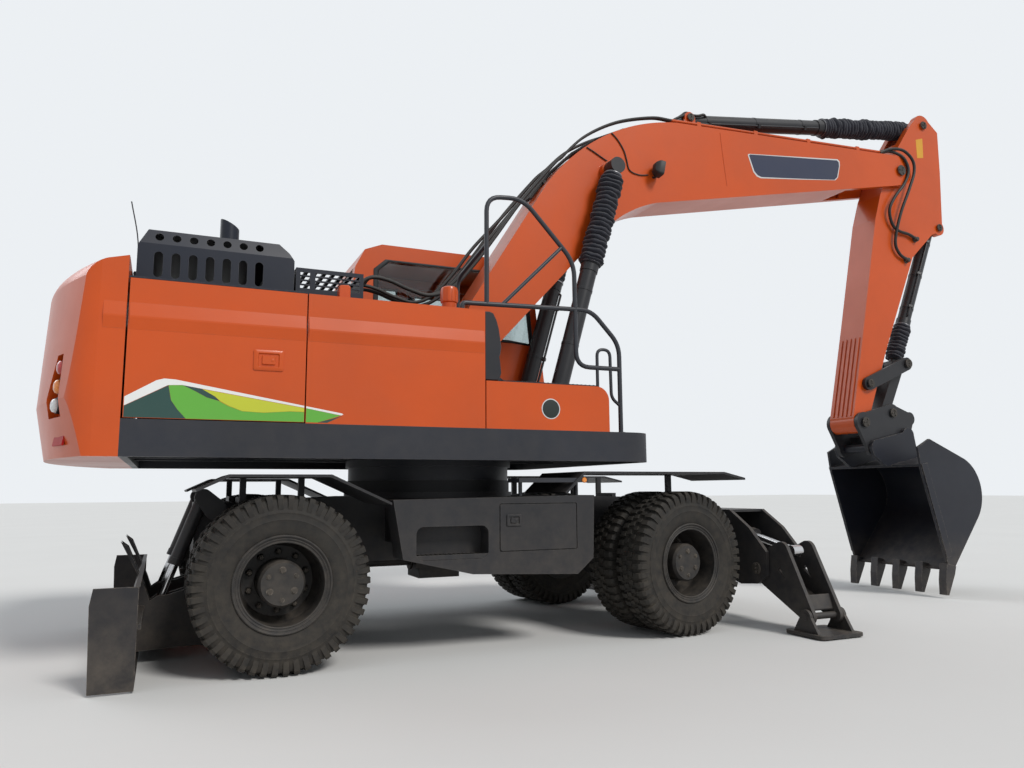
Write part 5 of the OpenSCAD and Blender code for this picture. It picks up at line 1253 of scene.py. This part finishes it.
# Weld: a bead of weld metal down each side of the boom where two side plates meet, a few
# millimetres proud and painted over with the boom.
fitted("boom_weld", lambda shape: [
    build_tube(shape, smooth_path([(x, BOOM_SIDE + hand * (BOOM_HALF + 0.0005), z)
                                   for x, z in ((2.850, 4.520), (2.870, 4.300), (2.905, 3.990))]), 0.004, 8)
    for hand in (-1, 1)], "boom", orange_enamel)


# Wear strips: five round-ended steel bars welded side by side along the arm's belly near
# the bucket, to stiffen it and take the knocks.
def build_wear_strips(shape):
    foot, head = Vector((4.448, 0.0, 1.800)), Vector((4.652, 0.0, 2.640))
    along = (head - foot).normalized()
    out = Vector((-along.z, 0.0, along.x))
    for i in range(5):
        y = BOOM_SIDE + 0.056 * (i - 2)
        outline = rounded_outline(-0.011, 0.011, 0.0, (head - foot).length, 0.0105, 4)
        rings = []
        for rise, scale in ((-0.004, 1.0), (0.008, 1.0), (0.012, 0.70)):
            rings.append([shape.verts.new(foot + along * v + out * rise + Vector((0.0, y + u * scale, 0.0)))
                          for u, v in outline])
        skin_over(shape, rings)


fitted("arm_wear_strips", build_wear_strips, "arm", orange_enamel)

# Bucket's side edges: a flat steel bar welded along each side of the mouth, in the
# bucket's own paint and worn bright at its edge.
EDGE_TOP, EDGE_FOOT = (4.836, 1.300), (5.098, 0.378)
EDGE_BAR = [EDGE_TOP, (EDGE_TOP[0] + 0.078, EDGE_TOP[1] + 0.012),
            (EDGE_FOOT[0] + 0.078, EDGE_FOOT[1] + 0.030), EDGE_FOOT]
for hand, side_name in BOTH_SIDES:
    fitted("bucket_edge_" + side_name,
           lambda shape: build_plate(shape, EDGE_BAR, BOOM_SIDE + hand * 0.580, hand, 0.010),
           "bucket", bucket_paint, smooth=False)

# Cab windows: panes of tinted safety glass in the frame and the door, held at their edges
# by rubber seals and dusty low down.
cab_tint, tint_tree, pane = new_finish("cab_tint")
pane["Transmission Weight"].default_value = 1.0
pane["Metallic"].default_value = 0.0
pane["IOR"].default_value = 1.45
pane_dust = placed(tint_tree, dust_group, Dust=0.10, Mud=0.10, Mud_Height=3.2, Grain=3.0)["Mask"]
join(tint_tree, tint(tint_tree, pane_dust, (0.66, 0.72, 0.72, 1.0), (0.46, 0.45, 0.42, 1.0)),
     pane["Base Color"])
join(tint_tree, stretch(tint_tree, pane_dust, 0.0, 0.6, 0.02, 0.35), pane["Roughness"])
dress(cab_tint, "cab_glass", "cab_door_glass")

# Operator's seat: moulded foam pads for the cushion, back and headrest, in dark woven
# cloth with sewn channels, screwed to the frame below.
seat_cloth, seat_tree, seat_shader = new_finish("seat_cloth")
weave = {"Vector": place_on(seat_tree), "Scale": 260.0}
thread = lay_node(seat_tree, "ShaderNodeTexVoronoi", weave).outputs["Distance"]
seat_tone = tint(seat_tree, thread, (0.018, 0.019, 0.022, 1.0), (0.050, 0.052, 0.058, 1.0))
join(seat_tree, seat_tone, seat_shader["Base Color"])
join(seat_tree, stretch(seat_tree, thread, 0.0, 0.8, 0.75, 0.92), seat_shader["Roughness"])
seat_shader["Sheen Weight"].default_value = 0.3
add_relief(seat_tree, seat_shader, thread, 0.3, 0.002)
CUSHION_WAIST = 0.04


def build_cushion(shape, size, crown, channels, frame_at):
    """A closed pad of an (x, y, z) size, crowned, drawn in at its sides, with channels sewn across."""
    columns, rows = 28, 24
    sides = {}
    for face_sign in (-1, 1):
        for i in range(columns + 1):
            for k in range(rows + 1):
                u, v = 2 * i / columns - 1, 2 * k / rows - 1
                soft = (1 - abs(u) ** 6) * (1 - abs(v) ** 6)
                x = u * size[0] / 2 * (1 - CUSHION_WAIST * (1 - v * v) * abs(u) ** 8)
                y = v * size[1] / 2 * (1 - CUSHION_WAIST * (1 - u * u) * abs(v) ** 8)
                rim = max(0.0, soft) ** 0.45
                z = face_sign * size[2] / 2 * rim
                if face_sign > 0:
                    z += crown * (1 - u * u) * (1 - v * v)
                    for line in channels:
                        z -= 0.010 * rim * math.exp(-((v - line) / 0.035) ** 2)
                if face_sign > 0 and (i in (0, columns) or k in (0, rows)):
                    sides[face_sign, i, k] = sides[-1, i, k]
                else:
                    sides[face_sign, i, k] = shape.verts.new(frame_at @ Vector((x, y, z)))
    for face_sign in (-1, 1):
        for i in range(columns):
            for k in range(rows):
                shape.faces.new([sides[face_sign, u, v]
                                 for u, v in ((i, k), (i + 1, k), (i + 1, k + 1), (i, k + 1))])


seat_low, seat_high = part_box("cab_seat")
SEAT_Y = (seat_low.y + seat_high.y) / 2
laid = Matrix.Rotation(math.radians(-4), 4, "Y")
leaning = Matrix.Rotation(math.radians(97.5), 4, "Y") @ Matrix.Rotation(math.pi, 4, "Z")
cushions = [
    ("seat_cushion", (0.480, 0.500, 0.120), 0.018, (-0.42, 0.42), (0.330, SEAT_Y, 1.955), laid),
    ("seat_back", (0.640, 0.460, 0.110), 0.020, (-0.45, 0.45), (0.085, SEAT_Y, 2.330), leaning),
    ("seat_headrest", (0.180, 0.260, 0.085), 0.012, (), (0.025, SEAT_Y, 2.745), leaning),
]
for name, size, crown, channels, at, turn in cushions:
    frame_at = Matrix.Translation(at) @ turn
    cushion = fitted(name, lambda shape: build_cushion(shape, size, crown, channels, frame_at), "upper",
                     seat_cloth)
    if name == "seat_cushion":
        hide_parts("cab_seat")


# Seat's frame: a steel pan on a rubber bellows bolted to the floor, with a moulded console
# and armrest and a lever on each side.
def build_seat_frame(shape):
    add_block(shape, (0.305, SEAT_Y, 1.880), (0.40, 0.40, 0.03))
    rings = []
    for level in range(7):
        half = 0.185 + (0.012 if level % 2 else 0.0)
        outline = rounded_outline(0.305 - half, 0.305 + half, SEAT_Y - half, SEAT_Y + half, 0.04)
        rings.append([shape.verts.new((x, y, 1.560 + level * 0.043)) for x, y in outline])
    skin_over(shape, rings)
    for hand in (-1, 1):
        side = SEAT_Y + hand * 0.345
        for corners in ((0.150, 0.560, 1.900, 2.040, 0.03), (0.200, 0.640, 2.060, 2.105, 0.018)):
            build_plate(shape, rounded_outline(*corners), side - 0.045, 1, 0.090)
        add_block(shape, (0.300, side, 2.050), (0.10, 0.05, 0.04))
        lever = [(0.0, 0.030), (0.02, 0.024), (0.05, 0.012), (0.13, 0.011), (0.15, 0.022), (0.20, 0.024),
                 (0.225, 0.015)]
        round_stack(shape, (0.560, side, 2.095), (0.12, 0, 1), lever, 16)


cab_plastic = weathered("cab_plastic", (0.030, 0.030, 0.032, 1.0), 0.6, dust=0.2, mud=0.0, wear=0.1, peel=4.0)
fitted("seat_frame", build_seat_frame, "upper", cab_plastic)


# Steering column: a moulded column on the cab floor, carrying a thin wheel with three
# spokes moulded around a steel rim.
WHEEL_RADIUS, RIM_THICK, SPOKE_TURNS = 0.175, 0.012, (0.5, 2.64, 4.71)


def build_column(shape):
    round_stack(shape, (0.900, SEAT_Y, 1.530), (-0.12, 0, 1),
                [(0.0, 0.085), (0.05, 0.062), (0.50, 0.050), (0.62, 0.058), (0.66, 0.040)], 24)
    turn = Vector((-0.42, 0, 1)).to_track_quat("Z", "Y").to_matrix()
    hub = Vector((0.822, SEAT_Y, 2.185))
    rings = []
    for i in range(48):
        a = 2 * math.pi * i / 48
        around = [2 * math.pi * k / 10 for k in range(10)]
        section = [(WHEEL_RADIUS + RIM_THICK * math.cos(b), RIM_THICK * math.sin(b)) for b in around]
        rings.append([shape.verts.new(hub + turn @ Vector((r * math.cos(a), r * math.sin(a), up)))
                      for r, up in section])
    skin_over(shape, rings, round_trip=True)
    for a in SPOKE_TURNS:
        spoke = [hub + turn @ Vector((r * math.cos(a), r * math.sin(a), 0.0)) for r in (0.02, 0.09, 0.170)]
        build_tube(shape, spoke, 0.011, 10)
    round_stack(shape, hub - turn @ Vector((0, 0, 0.03)), turn @ Vector((0, 0, 1)),
                [(0.0, 0.032), (0.035, 0.038), (0.045, 0.026)], 24)


fitted("steering_column", build_column, "upper", cab_plastic)
